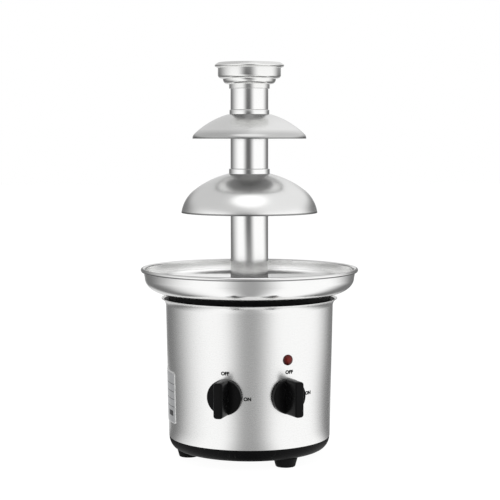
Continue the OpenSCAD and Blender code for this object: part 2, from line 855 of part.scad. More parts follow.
cap_boss_r = rotor_shaft_r + 3.5;
cap_boss_h = 5;
cap_vent_r = 3.2;
module motor_end_cap() {
    color(dull_steel) at_motor(cap_z) difference() {
        union() {
            cylinder(h = cap_t, r = can_r);
            at_height(cap_t) cylinder(h = cap_boss_h, r = cap_boss_r);
        }
        at_height(-over) cylinder(h = cap_t + cap_boss_h + 2 * over, r = rotor_shaft_r + fit);
        for (a = [0:60:300]) rotate([0, 0, a]) translate([can_r * 0.58, 0, -over])
            cylinder(h = cap_t + 2 * over, r = cap_vent_r);
    }
}

motor_screw_reach = 4;
motor_screw_head = [motor_screw_r + 1.2, 1.6];
module motor_screws() {
    color(dull_steel) at_motor_screws() {
        at_height(gearbox_z - motor_screw_reach)
            cylinder(h = plate_t + motor_screw_reach, r = motor_screw_r);
        at_height(gearbox_z + plate_t) cylinder(h = motor_screw_head[1], r = motor_screw_head[0]);
    }
}

stator_z = can_z + 10;
stator_bore_r = rotor_r + air_gap;
slot_lip = 1.2;
core_back = 2.8;
slot_r = stator_bore_r + slot_lip;
slot_l = can_r - can_t - core_back - slot_r;
coil_over = 2;

module in_slots() {
    for (a = [0:90:270]) rotate([0, 0, a]) translate([slot_r, -coil_w / 2, 0]) children();
}

module stator_core() {
    color(dull_steel) at_motor(stator_z) difference() {
        tube(can_r - can_t - fit, stator_bore_r, rotor_h);
        in_slots() at_height(-over) cube([slot_l, coil_w, rotor_h + 2 * over]);
    }
}

module stator_coils() {
    color(copper) at_motor(stator_z - coil_over) in_slots() translate([play, play, 0])
        cube([slot_l - 2 * play, coil_w - 2 * play, rotor_h + 2 * coil_over]);
}

module rotor_core() {
    color(dull_steel) at_motor(stator_z) tube(rotor_r, rotor_shaft_r + fit, rotor_h);
}

fan_gap = 3;
shaft_tail = 2;
fan_z = cap_z - fan_gap - fan_h;
module rotor_shaft() {
    bottom = fan_z - shaft_tail;
    color(steel) at_motor(bottom) cylinder(h = idler_z + idler_face - bottom, r = rotor_shaft_r);
}

fan_hub_r = rotor_shaft_r + 3.5;
fan_disc_t = 1.2;
fan_blade_t = 1.2;
module cooling_fan() {
    color(black) at_motor(fan_z) difference() {
        union() {
            cylinder(h = fan_h, r = fan_hub_r);
            cylinder(h = fan_disc_t, r = fan_r - 3);
            for (i = [0:fan_blades - 1]) rotate([0, 0, i * 360 / fan_blades])
                translate([fan_hub_r - over, -fan_blade_t / 2, 0])
                    cube([fan_r - fan_hub_r + over, fan_blade_t, fan_h]);
        }
        at_height(-over) cylinder(h = fan_h + 2 * over, r = rotor_shaft_r + fit);
    }
}

// Gears: involute flanks at 20 degrees, tip a little short, so no tooth is undercut
pressure = 20;
tip_share = 0.9;
root_share = 1.2;
function involute(a) = tan(a) * 180 / PI - a;

// Half angle of a tooth at a given radius
function tooth_half(n, r) = let (pitch = gear_m * n / 2, base = pitch * cos(pressure))
    90 / n - flank_clear / pitch * 180 / PI + involute(pressure) - involute(acos(min(1, base / r)));

function gear_points(n) =
    let (pitch = gear_m * n / 2, base = pitch * cos(pressure), root = pitch - root_share * gear_m,
        tip = pitch + tip_share * gear_m, low = max(base, root + 0.05), steps = 4)
    [for (tooth = [0:n - 1]) let (mid = tooth * 360 / n) each concat(
        [[root, mid - tooth_half(n, low)]],
        [for (i = [0:steps]) let (r = low + (tip - low) * i / steps) [r, mid - tooth_half(n, r)]],
        [for (i = [steps:-1:0]) let (r = low + (tip - low) * i / steps) [r, mid + tooth_half(n, r)]],
        [[root, mid + tooth_half(n, low)]])];

module gear(n, h) {
    linear_extrude(h) polygon([for (p = gear_points(n)) p[0] * [cos(p[1]), sin(p[1])]]);
}

// The cross pin's bar, through hub and shaft
module cross_bar(r, l) {
    at_height(cross_pin_z) rotate([0, 90, 0]) cylinder(h = l, r = r, center = true);
}

module output_gear() {
    color(white) difference() {
        union() {
            at_height(output_z) rotate([0, 0, idler_dir]) gear(output_teeth, output_face);
            at_height(output_z - hub_h) cylinder(h = hub_h, r = hub_r);
        }
        at_height(output_z - hub_h - over)
            cylinder(h = hub_h + output_face + 2 * over, r = shaft_r + fit);
        cross_bar(cross_pin_r + fit, 2 * (hub_r + over));
    }
}

module gear_pin() {
    color(dull_steel) cross_bar(cross_pin_r, 2 * hub_r - 1);
}

shaft_lift = 0.4;
module drive_shaft() {
    bottom = gearbox_z + shaft_lift;
    color(steel) difference() {
        union() {
            at_height(bottom) cylinder(h = auger_z - bottom, r = shaft_r);
            difference() {
                at_height(auger_z - over) cylinder(h = spigot_h + over, r = spigot_r);
                translate([spigot_r - flat_depth, -spigot_r, auger_z])
                    cube([spigot_r, 2 * spigot_r, spigot_h + over]);
            }
        }
        cross_bar(cross_pin_r + fit, 2 * (shaft_r + over));
    }
}

idler_lift = 0.3;
module idler_gear() {
    bottom = gearbox_z + plate_t + idler_lift;
    color(white) translate([idler_xy[0], idler_xy[1], 0]) difference() {
        union() {
            at_height(output_z) rotate([0, 0, idler_dir + 180 + 180 / pinion_teeth])
                gear(pinion_teeth, output_face);
            at_height(idler_z) rotate([0, 0, motor_dir]) gear(idler_teeth, idler_face);
            at_height(bottom) cylinder(h = output_z - bottom, r = pin_r + 2.5);
        }
        at_height(gearbox_z) cylinder(h = gear_space + 2 * plate_t, r = pin_r + fit);
    }
}

pinion_over = 0.3;
module motor_pinion() {
    h = idler_face + 2 * pinion_over;
    color(brass) at_motor(idler_z - pinion_over)
        rotate([0, 0, motor_dir + 180 + 180 / pinion_teeth]) difference() {
            gear(pinion_teeth, h);
            at_height(-over) cylinder(h = h + 2 * over, r = rotor_shaft_r + fit);
        }
}

// Auger: core with a keyed bore, one helical flight and a pointed top
flight_steps = 24;
flight_z = auger_z + 2;
flight_top_z = auger_top_z - tip_h - 4;
flight_r = bore_r - flight_gap;
flight_root_r = core_r - 0.8;
tip_r = 1.5;

function flight_ring(i) =
    let (a = i * 360 / flight_steps, z = flight_z + flight_pitch * i / flight_steps, c = cos(a), s = sin(a))
    [[flight_root_r * c, flight_root_r * s, z - flight_root_t / 2],
     [flight_r * c, flight_r * s, z - flight_tip_t / 2],
     [flight_r * c, flight_r * s, z + flight_tip_t / 2],
     [flight_root_r * c, flight_root_r * s, z + flight_root_t / 2]];

module flight() {
    n = floor((flight_top_z - flight_z) / flight_pitch * flight_steps);
    points = [for (i = [0:n]) each flight_ring(i)];
    sides = [for (i = [0:n - 1], k = [0:3]) let (a = 4 * i + k, b = 4 * i + (k + 1) % 4)
        each [[a, b + 4, a + 4], [a, b, b + 4]]];
    last = 4 * n;
    polyhedron(points = points, faces = concat(sides, [[2, 1, 0], [3, 2, 0],
        [last, last + 1, last + 2], [last, last + 2, last + 3]]));
}

module auger() {
    color(white) difference() {
        union() {
            at_height(auger_z) cylinder(h = auger_top_z - tip_h - auger_z, r = core_r);
            at_height(auger_top_z - tip_h) cylinder(h = tip_h, r1 = core_r, r2 = tip_r);
            flight();
        }
        difference() {
            at_height(auger_z - over) cylinder(h = spigot_h + over + 0.5, r = spigot_r + fit);
            translate([spigot_r - flat_depth + fit, -2 * spigot_r, auger_z - 2 * over])
                cube([spigot_r, 4 * spigot_r, spigot_h + 4 * over]);
        }
    }
}

// Tower sections: each upper tube has a socket that slips over the tube below
socket_play = 0.2;
socket_step = 1;
collar_round = 0.4;

module lower_tube() {
    port_az = [for (i = [0:peg_count - 1]) (i + 0.5) * 360 / peg_count];
    color(steel) difference() {
        at_height(floor_z)
            tube(tube_r, bore_r, lower_section_h + lower_collar_h - socket_step - socket_play);
        for (az = port_az) rotate([0, 0, az]) translate([-port_w / 2, -tube_r - over, floor_z - over])
            cube([port_w, tube_r / 2, port_h + over]);
    }
}

module socket_tube(z, collar_w, collar_h, h) {
    inside = z + collar_h - socket_step;
    collar_r = tube_r + collar_w;
    color(steel) rotate_extrude() polygon([[tube_r + fit, z], [collar_r, z],
        [collar_r, z + collar_h - collar_round], [collar_r - collar_round, z + collar_h],
        [tube_r, z + collar_h + 0.3], [tube_r, z + h], [bore_r, z + h], [bore_r, inside],
        [tube_r + fit, inside]]);
}

module middle_tube() {
    socket_tube(lower_seat_z, lower_collar_w, lower_collar_h,
        middle_section_h + upper_collar_h - socket_step - socket_play);
}

module upper_tube() {
    socket_tube(upper_seat_z, upper_collar_w, upper_collar_h, top_section_h + crown_socket_h);
}

// Dome: flat seat, main curve about the axis, then a tighter edge curve down to the rim
module dome(z, dome_r, curve, edge, h) {
    curve_z = z - sqrt(curve * curve - seat_r * seat_r);
    edge_x = dome_r - edge;
    edge_z = curve_z + sqrt((curve - edge) * (curve - edge) - edge_x * edge_x);
    turn = atan2(edge_z - curve_z, edge_x);
    rise = z - h - edge_z;
    rim = rise > 0 ? [] : [[dome_r, z - h]];
    path = concat([[tube_r + fit, z]], arc([0, curve_z], curve, acos(seat_r / curve), turn, 12),
        arc([edge_x, edge_z], edge, turn, asin(max(rise, 0) / edge), 10), rim);
    color(steel) rotate_extrude() polygon(sheet(path, -dome_t));
}

module lower_dome() {
    dome(lower_seat_z, lower_dome_r, lower_dome_curve, lower_dome_edge, lower_dome_h);
}

module upper_dome() {
    dome(upper_seat_z, upper_dome_r, upper_dome_curve, upper_dome_edge, upper_dome_h);
}

// Crown: socket, two rounds, wall and drip lip, hollow as a cup above
crown_chamfer = 0.3;
round_start = [1.6, 0.6];
lip_slope = 0.2;
lip_turn = 50;

module crown_cup() {
    top = crown_z + crown_h;
    neck_r = tube_r + crown_neck_w;
    low = crown_z + crown_neck_h;
    step_r = neck_r + crown_step_w;
    step_z = low + crown_step_h;
    wall_r = step_r + crown_wall_w;
    inner_r = wall_r - crown_t;
    floor_in = crown_z + crown_socket_h + crown_floor_t;
    lip = [wall_r + crown_lip_w - crown_lip_r, top - crown_lip_drop];
    rim_round = crown_t / 2;
    outline = concat([[tube_r + fit, crown_z], [neck_r - crown_chamfer, crown_z],
        [neck_r, crown_z + crown_chamfer], [neck_r, low]],
        oval([neck_r + round_start[0], step_z], crown_step_w - round_start[0], crown_step_h, -90, 0, 6),
        oval([step_r + round_start[1], step_z + crown_round_h + play],
            crown_wall_w - round_start[1], crown_round_h, -90, 0, 6),
        [[wall_r, top - crown_lip_h]], arc(lip, crown_lip_r, -lip_turn, lip_turn, 6),
        [[wall_r - lip_slope, top]],
        arc([inner_r + rim_round, top - rim_round], rim_round, 90, 180, 4),
        arc([inner_r - crown_fillet, floor_in + 1 + crown_fillet], crown_fillet, 0, -90, 5),
        [[bore_r, floor_in], [bore_r, crown_z + crown_socket_h],
         [tube_r + fit, crown_z + crown_socket_h]]);
    color(steel) rotate_extrude() polygon(outline);
}

// Switches, knobs and lamp, in the frame of at_azimuth
switch_nut_r = neck_r + switch_nut_wall;
nut_seat_r = drum_seat(knob_z, switch_nut_r, seat_gap);
neck_end_r = nut_seat_r + switch_nut_h + 0.8;
knob_seat_r = drum_seat(knob_z, knob_r, knob_gap);
switch_face_r = sqrt(pow(min(drum_r(knob_z - switch_h / 2), drum_r(knob_z + switch_h / 2)) - drum_t, 2)
    - pow(switch_w / 2, 2)) - 3 * seat_gap;
tab = [4, 0.8, 7];
tab_pitch = 7;
spindle_sink = 7.5;
end_gap = 0.5;

module switch_body(az) {
    back = switch_face_r - switch_d;
    color("#3a3a3c") at_azimuth(az, knob_z) difference() {
        union() {
            translate([-switch_w / 2, -switch_h / 2, back]) cube([switch_w, switch_h, switch_d]);
            at_height(switch_face_r) cylinder(h = neck_end_r - switch_face_r, r = neck_r);
            for (i = [-1:1]) translate([i * tab_pitch - tab[0] / 2, -tab[1] / 2, back - tab[2]])
                cube(tab);
        }
        at_height(switch_face_r - spindle_sink - end_gap)
            cylinder(h = knob_seat_r, r = spindle_r + fit);
    }
}

module motor_switch() switch_body(-knob_az);
module heat_switch() switch_body(knob_az);

module switch_nuts() {
    color(dull_steel) for (az = [-knob_az, knob_az]) at_azimuth(az, knob_z)
        at_height(nut_seat_r) hex_nut(switch_nut_r, neck_r + fit, switch_nut_h);
}

// Knob: a disc with a grip bar across it, hollow behind for the nut and the spindle
knob_inner_gap = 0.6;
knob_recess_r = switch_nut_r + 2;

module grip_bar() {
    w = grip_w / 2;
    rotate([90, 0, 0]) linear_extrude(2 * (knob_r + over), center = true)
        polygon([[-w - grip_draft / 2, knob_disc_t - over], [w + grip_draft / 2, knob_disc_t - over],
            [w, knob_proud], [-w, knob_proud]]);
}

module knob(az) {
    color(black) at_azimuth(az, knob_z) at_height(knob_seat_r) difference() {
        union() {
            cylinder(h = knob_disc_t, r = knob_r);
            intersection() {
                cylinder(h = knob_proud, r = knob_r);
                grip_bar();
            }
        }
        at_height(-over)
            cylinder(h = neck_end_r + knob_inner_gap - knob_seat_r + over, r = knob_recess_r);
        cylinder(h = spindle_reach + end_gap, r = spindle_r + fit);
    }
}

module motor_knob() knob(-knob_az);
module heat_knob() knob(knob_az);

module spindle(az) {
    inner = switch_face_r - spindle_sink;
    color(dull_steel) at_azimuth(az, knob_z) at_height(inner)
        cylinder(h = knob_seat_r + spindle_reach - inner, r = spindle_r);
}

module motor_spindle() spindle(-knob_az);
module heat_spindle() spindle(knob_az);

lamp_seat_r = drum_seat(lamp_z, lens_r, seat_gap);
holder_wall = 2;
holder_l = 14;
holder_floor = 6;
module lamp_lens() {
    ball_r = (lens_r * lens_r + lens_proud * lens_proud) / (2 * lens_proud);
    color("#7d1f18") at_azimuth(knob_az, lamp_z) at_height(lamp_seat_r) union() {
        intersection() {
            cylinder(h = lens_proud + over, r = lens_r);
            at_height(lens_proud - ball_r) sphere(r = ball_r);
        }
        at_height(-stem_l) cylinder(h = stem_l + end_gap, r = stem_r);
    }
}

module lamp_holder() {
    back = lamp_seat_r - stem_l - end_gap - holder_floor;
    color(black) at_azimuth(knob_az, lamp_z) at_height(back) difference() {
        cylinder(h = holder_l, r = stem_r + holder_wall);
        at_height(holder_floor) cylinder(h = holder_l, r = stem_r + fit);
    }
}

// Cord gland and its nut, wiring block and rating plate
gland_flange_w = 2.6;
gland_flange_h = 3;
gland_nut_h = 4;
gland_nut_gap = 1;
module cord_gland() {
    flange_r = gland_neck_r + gland_flange_w;
    seat = drum_seat(gland_z, flange_r, seat_gap);
    color(black) at_azimuth(gland_az, gland_z) at_height(seat) difference() {
        union() {
            at_height(gland_proud - gland_l) cylinder(h = gland_l, r = gland_neck_r);
            cylinder(h = gland_flange_h, r = flange_r);
        }
        at_height(gland_proud - gland_l - over) cylinder(h = gland_l + 2 * over, r = gland_bore_r);
    }
}

module gland_nut() {
    face = drum_r(gland_z) - drum_t - gland_nut_gap;
    color(black) at_azimuth(gland_az, gland_z) at_height(face - gland_nut_h)
        hex_nut(gland_neck_r + gland_nut_wall, gland_neck_r + fit, gland_nut_h);
}

block_size = [34, 16, 13];
block_inset = 35;
block_hole = [2, 9];
block_pitch = 8;
module terminal_block() {
    color(white) rotate([0, 0, 30])
        translate([drum_bottom_r - block_inset, -block_size[1] / 2, tray_z + tray_t]) difference() {
            translate([-block_size[0] / 2, 0, 0]) cube(block_size);
            for (i = [-1.5:1:1.5])
                translate([i * block_pitch, block_size[1] / 2, block_size[2] - block_hole[1]])
                    cylinder(h = block_hole[1] + over, r = block_hole[0]);
        }
}

label_gap = 0.02;
module rating_plate() {
    top = label_z + label_h;
    color("#c9cbcc") rotate([0, 0, label_az - 90 - label_angle / 2])
        rotate_extrude(angle = label_angle) polygon([[drum_r(label_z) + label_gap, label_z],
            [drum_r(label_z) + label_t, label_z], [drum_r(top) + label_t, top],
            [drum_r(top) + label_gap, top]]);
}

foot_pads();
foot_screws();
base_tray();
drum_shell();
insulating_ring();
bowl();
tower_pegs();
bowl_studs();
weld_nuts();
tie_rods();
tie_rod_nuts();
heater_plate();
heating_element();
heater_clamp();
thermostat();
thermal_fuse();
heat_shield();
stud_spacers();
stud_nuts();
motor_bracket();
gearbox_plate();
gearbox_pillars();
idler_pin();
shaft_bush();
foot_bush();
shaft_seal();
motor_can();
motor_end_cap();
motor_screws();
stator_core();
stator_coils();
motor_switch();
heat_switch();
switch_nuts();
lamp_lens();
lamp_holder();
cord_gland();
gland_nut();
terminal_block();
rating_plate();
drive_shaft();
output_gear();
gear_pin();
idler_gear();
rotor_shaft();
rotor_core();
motor_pinion();
cooling_fan();
auger();
lower_tube();
lower_dome();
middle_tube();
upper_dome();
upper_tube();
crown_cup();
motor_knob();
motor_spindle();
heat_knob();
heat_spindle();
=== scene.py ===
import math
import bpy
import bmesh
from mathutils import Matrix, Vector


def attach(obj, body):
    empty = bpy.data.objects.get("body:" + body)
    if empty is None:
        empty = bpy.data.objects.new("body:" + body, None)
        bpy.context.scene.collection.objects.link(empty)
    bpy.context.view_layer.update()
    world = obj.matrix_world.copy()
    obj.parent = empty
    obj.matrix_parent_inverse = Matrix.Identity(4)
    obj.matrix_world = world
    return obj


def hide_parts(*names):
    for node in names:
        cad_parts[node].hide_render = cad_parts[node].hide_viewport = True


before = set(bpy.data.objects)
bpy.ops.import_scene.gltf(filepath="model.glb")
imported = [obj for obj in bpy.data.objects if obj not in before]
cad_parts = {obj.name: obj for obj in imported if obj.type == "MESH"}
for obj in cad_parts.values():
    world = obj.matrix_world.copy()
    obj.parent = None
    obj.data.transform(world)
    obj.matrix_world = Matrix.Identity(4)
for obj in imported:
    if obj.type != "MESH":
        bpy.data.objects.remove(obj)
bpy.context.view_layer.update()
print("frame loaded:", len(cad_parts), "nodes")

# Chocolate fountain. Metres; the tower stands on the origin and the knobs face -Y.
# Azimuths are measured from the front (-Y) towards +X.

mm = 0.001
# Vertices closer than this are joined
weld = 1e-7
# The least radius that anything is divided by
least = 1e-5

# Camera, at the photograph's place
camera = {
    "distance": 1.424, "height": 0.318, "azimuth": -5.1, "pitch": -4.515,
    "lens": 103.8, "sensor": 36.0, "shift": 0.0012, "near": 0.05, "far": 50.0,
}


def makeCamera():
    data = bpy.data.cameras.new("camera")
    data.lens = camera["lens"]
    data.sensor_width = camera["sensor"]
    data.shift_x = camera["shift"]
    data.clip_start = camera["near"]
    data.clip_end = camera["far"]
    body = bpy.data.objects.new("camera", data)
    bpy.context.collection.objects.link(body)
    turned, away = math.radians(camera["azimuth"]), camera["distance"]
    body.location = (away * math.sin(turned), -away * math.cos(turned), camera["height"])
    body.rotation_euler = (math.radians(90 + camera["pitch"]), 0, turned)
    bpy.context.scene.camera = body


makeCamera()


def link(name, mesh):
    piece = bpy.data.objects.new(name, mesh)
    bpy.context.collection.objects.link(piece)
    return piece


def finishMesh(name, bm, material, sharp=35):
    mesh = bpy.data.meshes.new(name)
    bm.to_mesh(mesh)
    bm.free()
    for face in mesh.polygons:
        face.use_smooth = True
    mesh.set_sharp_from_angle(angle=math.radians(sharp))
    mesh.materials.append(material)
    return link(name, mesh)


def ovalPoints(centre, width, height, start, end, count):
    points = []
    for i in range(count + 1):
        angle = math.radians(start + (end - start) * i / count)
        points.append((centre[0] + width * math.cos(angle), centre[1] + height * math.sin(angle)))
    return points


def arcPoints(centre, radius, start, end, count):
    return ovalPoints(centre, radius, radius, start, end, count)


def endRound(point, normal, sheet):
    # the half circle that joins the two faces of a sheet at one end
    half = normal * sheet / 2
    centre = Vector(point) + half
    forward = Vector((half.y, -half.x))
    points = []
    for i in range(1, 4):
        angle = math.pi * i / 4
        points.append(tuple(centre - half * math.cos(angle) + forward * math.sin(angle)))
    return points


def sheetOutline(path, sheet):
    # closed outline of a sheet that lies to the left of its path, with rounded ends
    normals = []
    for i in range(len(path)):
        before = Vector(path[max(i - 1, 0)])
        after = Vector(path[min(i + 1, len(path) - 1)])
        along = (after - before).normalized()
        normals.append(Vector((-along.y, along.x)))
    other = [tuple(Vector(p) + n * sheet) for p, n in zip(path, normals)]
    farEnd = endRound(path[-1], normals[-1], sheet)
    nearEnd = endRound(other[0], -normals[0], sheet)
    return list(path) + farEnd + other[::-1] + nearEnd


def chain(bm, verts, closed=True):
    count = len(verts) if closed else len(verts) - 1
    return [bm.edges.new((verts[i], verts[(i + 1) % len(verts)])) for i in range(count)]


def turn(bm, outline, place=None, steps=256, closed=True):
    # spins an outline of (radius, height) points about Z, then puts it in its place
    verts = [bm.verts.new((r, 0, z)) for r, z in outline]
    edges = chain(bm, verts, closed)
    before = set(bm.verts) - set(verts)
    bmesh.ops.spin(bm, geom=verts + edges, cent=(0, 0, 0), axis=(0, 0, 1), angle=2 * math.pi,
                   steps=steps, use_merge=True)
    made = [v for v in bm.verts if v not in before]
    bmesh.ops.remove_doubles(bm, verts=made, dist=weld)
    if place is not None:
        bmesh.ops.transform(bm, matrix=place, verts=[v for v in bm.verts if v not in before])


def lathe(name, outline, material, steps=256, sharp=35, closed=True):
    bm = bmesh.new()
    turn(bm, outline, None, steps, closed)
    bmesh.ops.recalc_face_normals(bm, faces=bm.faces)
    return finishMesh(name, bm, material, sharp)


def stackRings(bm, rings, place=None):
    # joins closed rings of points, one after the other, and caps both ends
    loops = []
    for ring in rings:
        verts = [bm.verts.new(place @ Vector(p) if place is not None else Vector(p)) for p in ring]
        loops.append((verts, chain(bm, verts)))
    for first, second in zip(loops, loops[1:]):
        bmesh.ops.bridge_loops(bm, edges=first[1] + second[1])
    bm.faces.new(loops[0][0])
    bm.faces.new(loops[-1][0])


def onDrum(azimuth, height):
    # frame on the drum: x to the right, y up, z outwards
    return (Matrix.Rotation(math.radians(azimuth), 4, "Z") @ Matrix.Translation((0, 0, height))
            @ Matrix.Rotation(math.radians(90), 4, "X"))


# Materials
class Nodes:
    # short names for making and joining nodes in one tree
    def __init__(self, tree):
        self.tree = tree

    def add(self, kind, inputs=None, **settings):
        node = self.tree.nodes.new(kind)
        for key, value in settings.items():
            setattr(node, key, value)
        for key, value in (inputs or {}).items():
            if isinstance(value, bpy.types.NodeSocket):
                self.tree.links.new(value, node.inputs[key])
            else:
                node.inputs[key].default_value = value
        return node

    def maths(self, operation, first, second=0.0, third=0.0, clamp=False):
        return self.add("ShaderNodeMath", {0: first, 1: second, 2: third}, operation=operation,
                        use_clamp=clamp).outputs[0]

    def length(self, first, second):
        # length of a flat arrow with these two parts
        square = self.maths("MULTIPLY", first, first)
        return self.maths("SQRT", self.maths("MULTIPLY_ADD", second, second, square))

    def between(self, first, second, share):
        # a value that goes from the first to the second as the share goes from 0 to 1
        return self.maths("MULTIPLY_ADD", self.maths("SUBTRACT", second, first), share, first)

    def mix(self, factor, first, second):
        node = self.add("ShaderNodeMix", {0: factor, 6: first, 7: second}, data_type="RGBA")
        return node.outputs[2]

    def remap(self, value, low, high, newLow, newHigh):
        node = self.add("ShaderNodeMapRange", {0: value, 1: low, 2: high, 3: newLow, 4: newHigh})
        return node.outputs[0]

    def soft(self, value, low, high, newLow=0.0, newHigh=1.0):
        node = self.add("ShaderNodeMapRange", {0: value, 1: low, 2: high, 3: newLow, 4: newHigh},
                        interpolation_type="SMOOTHSTEP")
        return node.outputs[0]

    def noise(self, point, scale, detail, roughness):
        values = {"Vector": point, "Scale": scale, "Detail": detail, "Roughness": roughness}
        return self.add("ShaderNodeTexNoise", values).outputs

    def parts(self, point):
        return self.add("ShaderNodeSeparateXYZ", {0: point}).outputs


def newGroup(name, inputs, outputs):
    tree = bpy.data.node_groups.new(name, "ShaderNodeTree")
    for label, kind, value in inputs:
        socket = tree.interface.new_socket(label, in_out="INPUT", socket_type=kind)
        if value is not None:
            socket.default_value = value
    for label, kind in outputs:
        tree.interface.new_socket(label, in_out="OUTPUT", socket_type=kind)
    work = Nodes(tree)
    source = work.add("NodeGroupInput")
    sink = work.add("NodeGroupOutput")
    return tree, work, source.outputs, sink.inputs


number = "NodeSocketFloat"
pointInput = ("Point", "NodeSocketVector", None)
# The scale, detail and roughness of each noise
noises = {
    "line": (1.0, 3.0, 0.7), "cloud": (22.0, 3.0, 0.55), "patch": (38.0, 4.0, 0.6), "bend": (60.0, 1.0, 0.5),
    "streak": (1.0, 2.0, 0.5),
}


def turnedGroup():
    # hair lines that run round the axis, as on sheet that was brushed or spun on a lathe
    tree, work, given, out = newGroup(
        "turnedLines", [pointInput, ("Lines", number, 1500.0), ("Spread", number, 9.0)],
        [("Line", number), ("Cloud", number)])
    parts = work.parts(given["Point"])
    radius = work.maths("MAXIMUM", work.length(parts[0], parts[1]), least)
    roundX = work.maths("MULTIPLY", work.maths("DIVIDE", parts[0], radius), given["Spread"])
    roundY = work.maths("MULTIPLY", work.maths("DIVIDE", parts[1], radius), given["Spread"])
    upwards = work.maths("MULTIPLY", parts[2], given["Lines"])
    outwards = work.maths("MULTIPLY", radius, given["Lines"])
    along = work.add("ShaderNodeCombineXYZ", {0: roundX, 1: roundY, 2: upwards}).outputs[0]
    lines = work.noise(along, *noises["line"])
    lines[0].node.noise_dimensions = "4D"
    tree.links.new(outwards, lines[0].node.inputs["W"])
    cloud = work.noise(given["Point"], *noises["cloud"])
    tree.links.new(lines[0], out["Line"])
    tree.links.new(cloud[0], out["Cloud"])
    return tree


def grainGroup():
    # fine moulded or cast grain with soft patches
    tree, work, given, out = newGroup(
        "mouldedGrain", [pointInput, ("Scale", number, 1800.0)], [("Grain", number), ("Patch", number)])
    fine = work.noise(given["Point"], given["Scale"], 2.0, 0.6)
    patch = work.noise(given["Point"], *noises["patch"])
    tree.links.new(fine[0], out["Grain"])
    tree.links.new(patch[0], out["Patch"])
    return tree


# Fine scratches: streaks of noise, long one way and bent by a coarser noise
scratches = {"turn": (0.5, 0.3, 0.9), "scale": (900.0, 40.0, 60.0), "range": (0.66, 0.72)}


def wearGroup():
    tree, work, given, out = newGroup(
        "fineScratches", [pointInput, ("Amount", number, 0.3)], [("Mask", number)])
    bend = work.noise(given["Point"], *noises["bend"])[1]
    bent = work.add("ShaderNodeVectorMath", {0: given["Point"], 1: bend}, operation="MULTIPLY").outputs[0]
    stretched = work.add("ShaderNodeMapping", {"Vector": bent, "Rotation": scratches["turn"],
                                               "Scale": scratches["scale"]}).outputs[0]
    streak = work.remap(work.noise(stretched, *noises["streak"])[0], *scratches["range"], 0.0, 1.0)
    tree.links.new(work.maths("MULTIPLY", streak, given["Amount"], clamp=True), out["Mask"])
    return tree


groups = {"turned": turnedGroup(), "grain": grainGroup(), "wear": wearGroup()}

# The part of a noise's range that holds most of it
noiseRange = (0.3, 0.7)


def startMaterial(name):
    material = bpy.data.materials.new(name)
    material.use_nodes = True
    tree = material.node_tree
    tree.nodes.clear()
    work = Nodes(tree)
    shader = work.add("ShaderNodeBsdfPrincipled")
    sink = work.add("ShaderNodeOutputMaterial")
    tree.links.new(shader.outputs[0], sink.inputs[0])
    point = work.add("ShaderNodeTexCoord").outputs["Object"]
    return material, work, shader, point


def placeGroup(work, kind, point, **values):
    node = work.add("ShaderNodeGroup", node_tree=groups[kind])
    work.tree.links.new(point, node.inputs["Point"])
    for key, value in values.items():
        node.inputs[key].default_value = value
    return node.outputs


def join(work, shader, shade, rough, bump=None):
    work.tree.links.new(shade, shader.inputs["Base Color"])
    work.tree.links.new(rough, shader.inputs["Roughness"])
    if bump is not None:
        work.tree.links.new(bump.outputs[0], shader.inputs["Normal"])


def tone(colour, factor):
    return tuple(min(1.0, c * factor) for c in colour) + (1.0,)


# Brushed and spun steel: how its lines, clouds and scratches change the tone and the roughness
steelFinish = {
    "spread": 9.0, "scratches": 0.12, "scratchTone": 1.08, "scratchDepth": 0.5, "cloudShare": 0.5,
    "cloudTone": 0.985, "cloudRough": 0.006, "lineRough": 0.01,
}


def steelMaterial(name, colour, roughness, lines, depth, contrast=0.02, ring=None):
    material, work, shader, point = startMaterial(name)
    turned = placeGroup(work, "turned", point, Lines=lines, Spread=steelFinish["spread"])
    worn = placeGroup(work, "wear", point, Amount=steelFinish["scratches"])
    shade = work.mix(turned["Line"], tone(colour, 1 - contrast), tone(colour, 1 + contrast))
    clouded = work.remap(turned["Cloud"], *noiseRange, 0.0, steelFinish["cloudShare"])
    shade = work.mix(clouded, shade, tone(colour, steelFinish["cloudTone"]))
    shade = work.mix(worn["Mask"], shade, tone(colour, steelFinish["scratchTone"]))
    if ring:
        # painted shade: a darker ring, fading from its first radius to its second
        start, end, share = ring
        parts = work.parts(point)
        shade = work.mix(work.remap(work.length(parts[0], parts[1]), start, end, share, 0.0), shade,
                         (0.0, 0.0, 0.0, 1.0))
    lineRough, cloudRough = steelFinish["lineRough"], steelFinish["cloudRough"]
    lined = work.remap(turned["Line"], *noiseRange, roughness - lineRough, roughness + lineRough)
    rough = work.maths("ADD", lined, work.remap(turned["Cloud"], *noiseRange, -cloudRough, cloudRough))
    scratched = work.maths("MULTIPLY", worn["Mask"], steelFinish["scratchDepth"])
    height = work.maths("SUBTRACT", turned["Line"], scratched)
    bump = work.add("ShaderNodeBump", {"Height": height, "Strength": 1.0, "Distance": depth})
    join(work, shader, shade, rough, bump)
    shader.inputs["Metallic"].default_value = 1.0
    return material


# Moulded and cast surfaces: pale scratches, and how grain and patches change the roughness
mouldedFinish = {
    "scratches": 0.25, "scratchShare": 0.8, "scratchLift": 0.05, "scratchTone": 1.2,
    "grainRough": (-0.04, 0.05), "patchRough": (-0.03, 0.05),
}


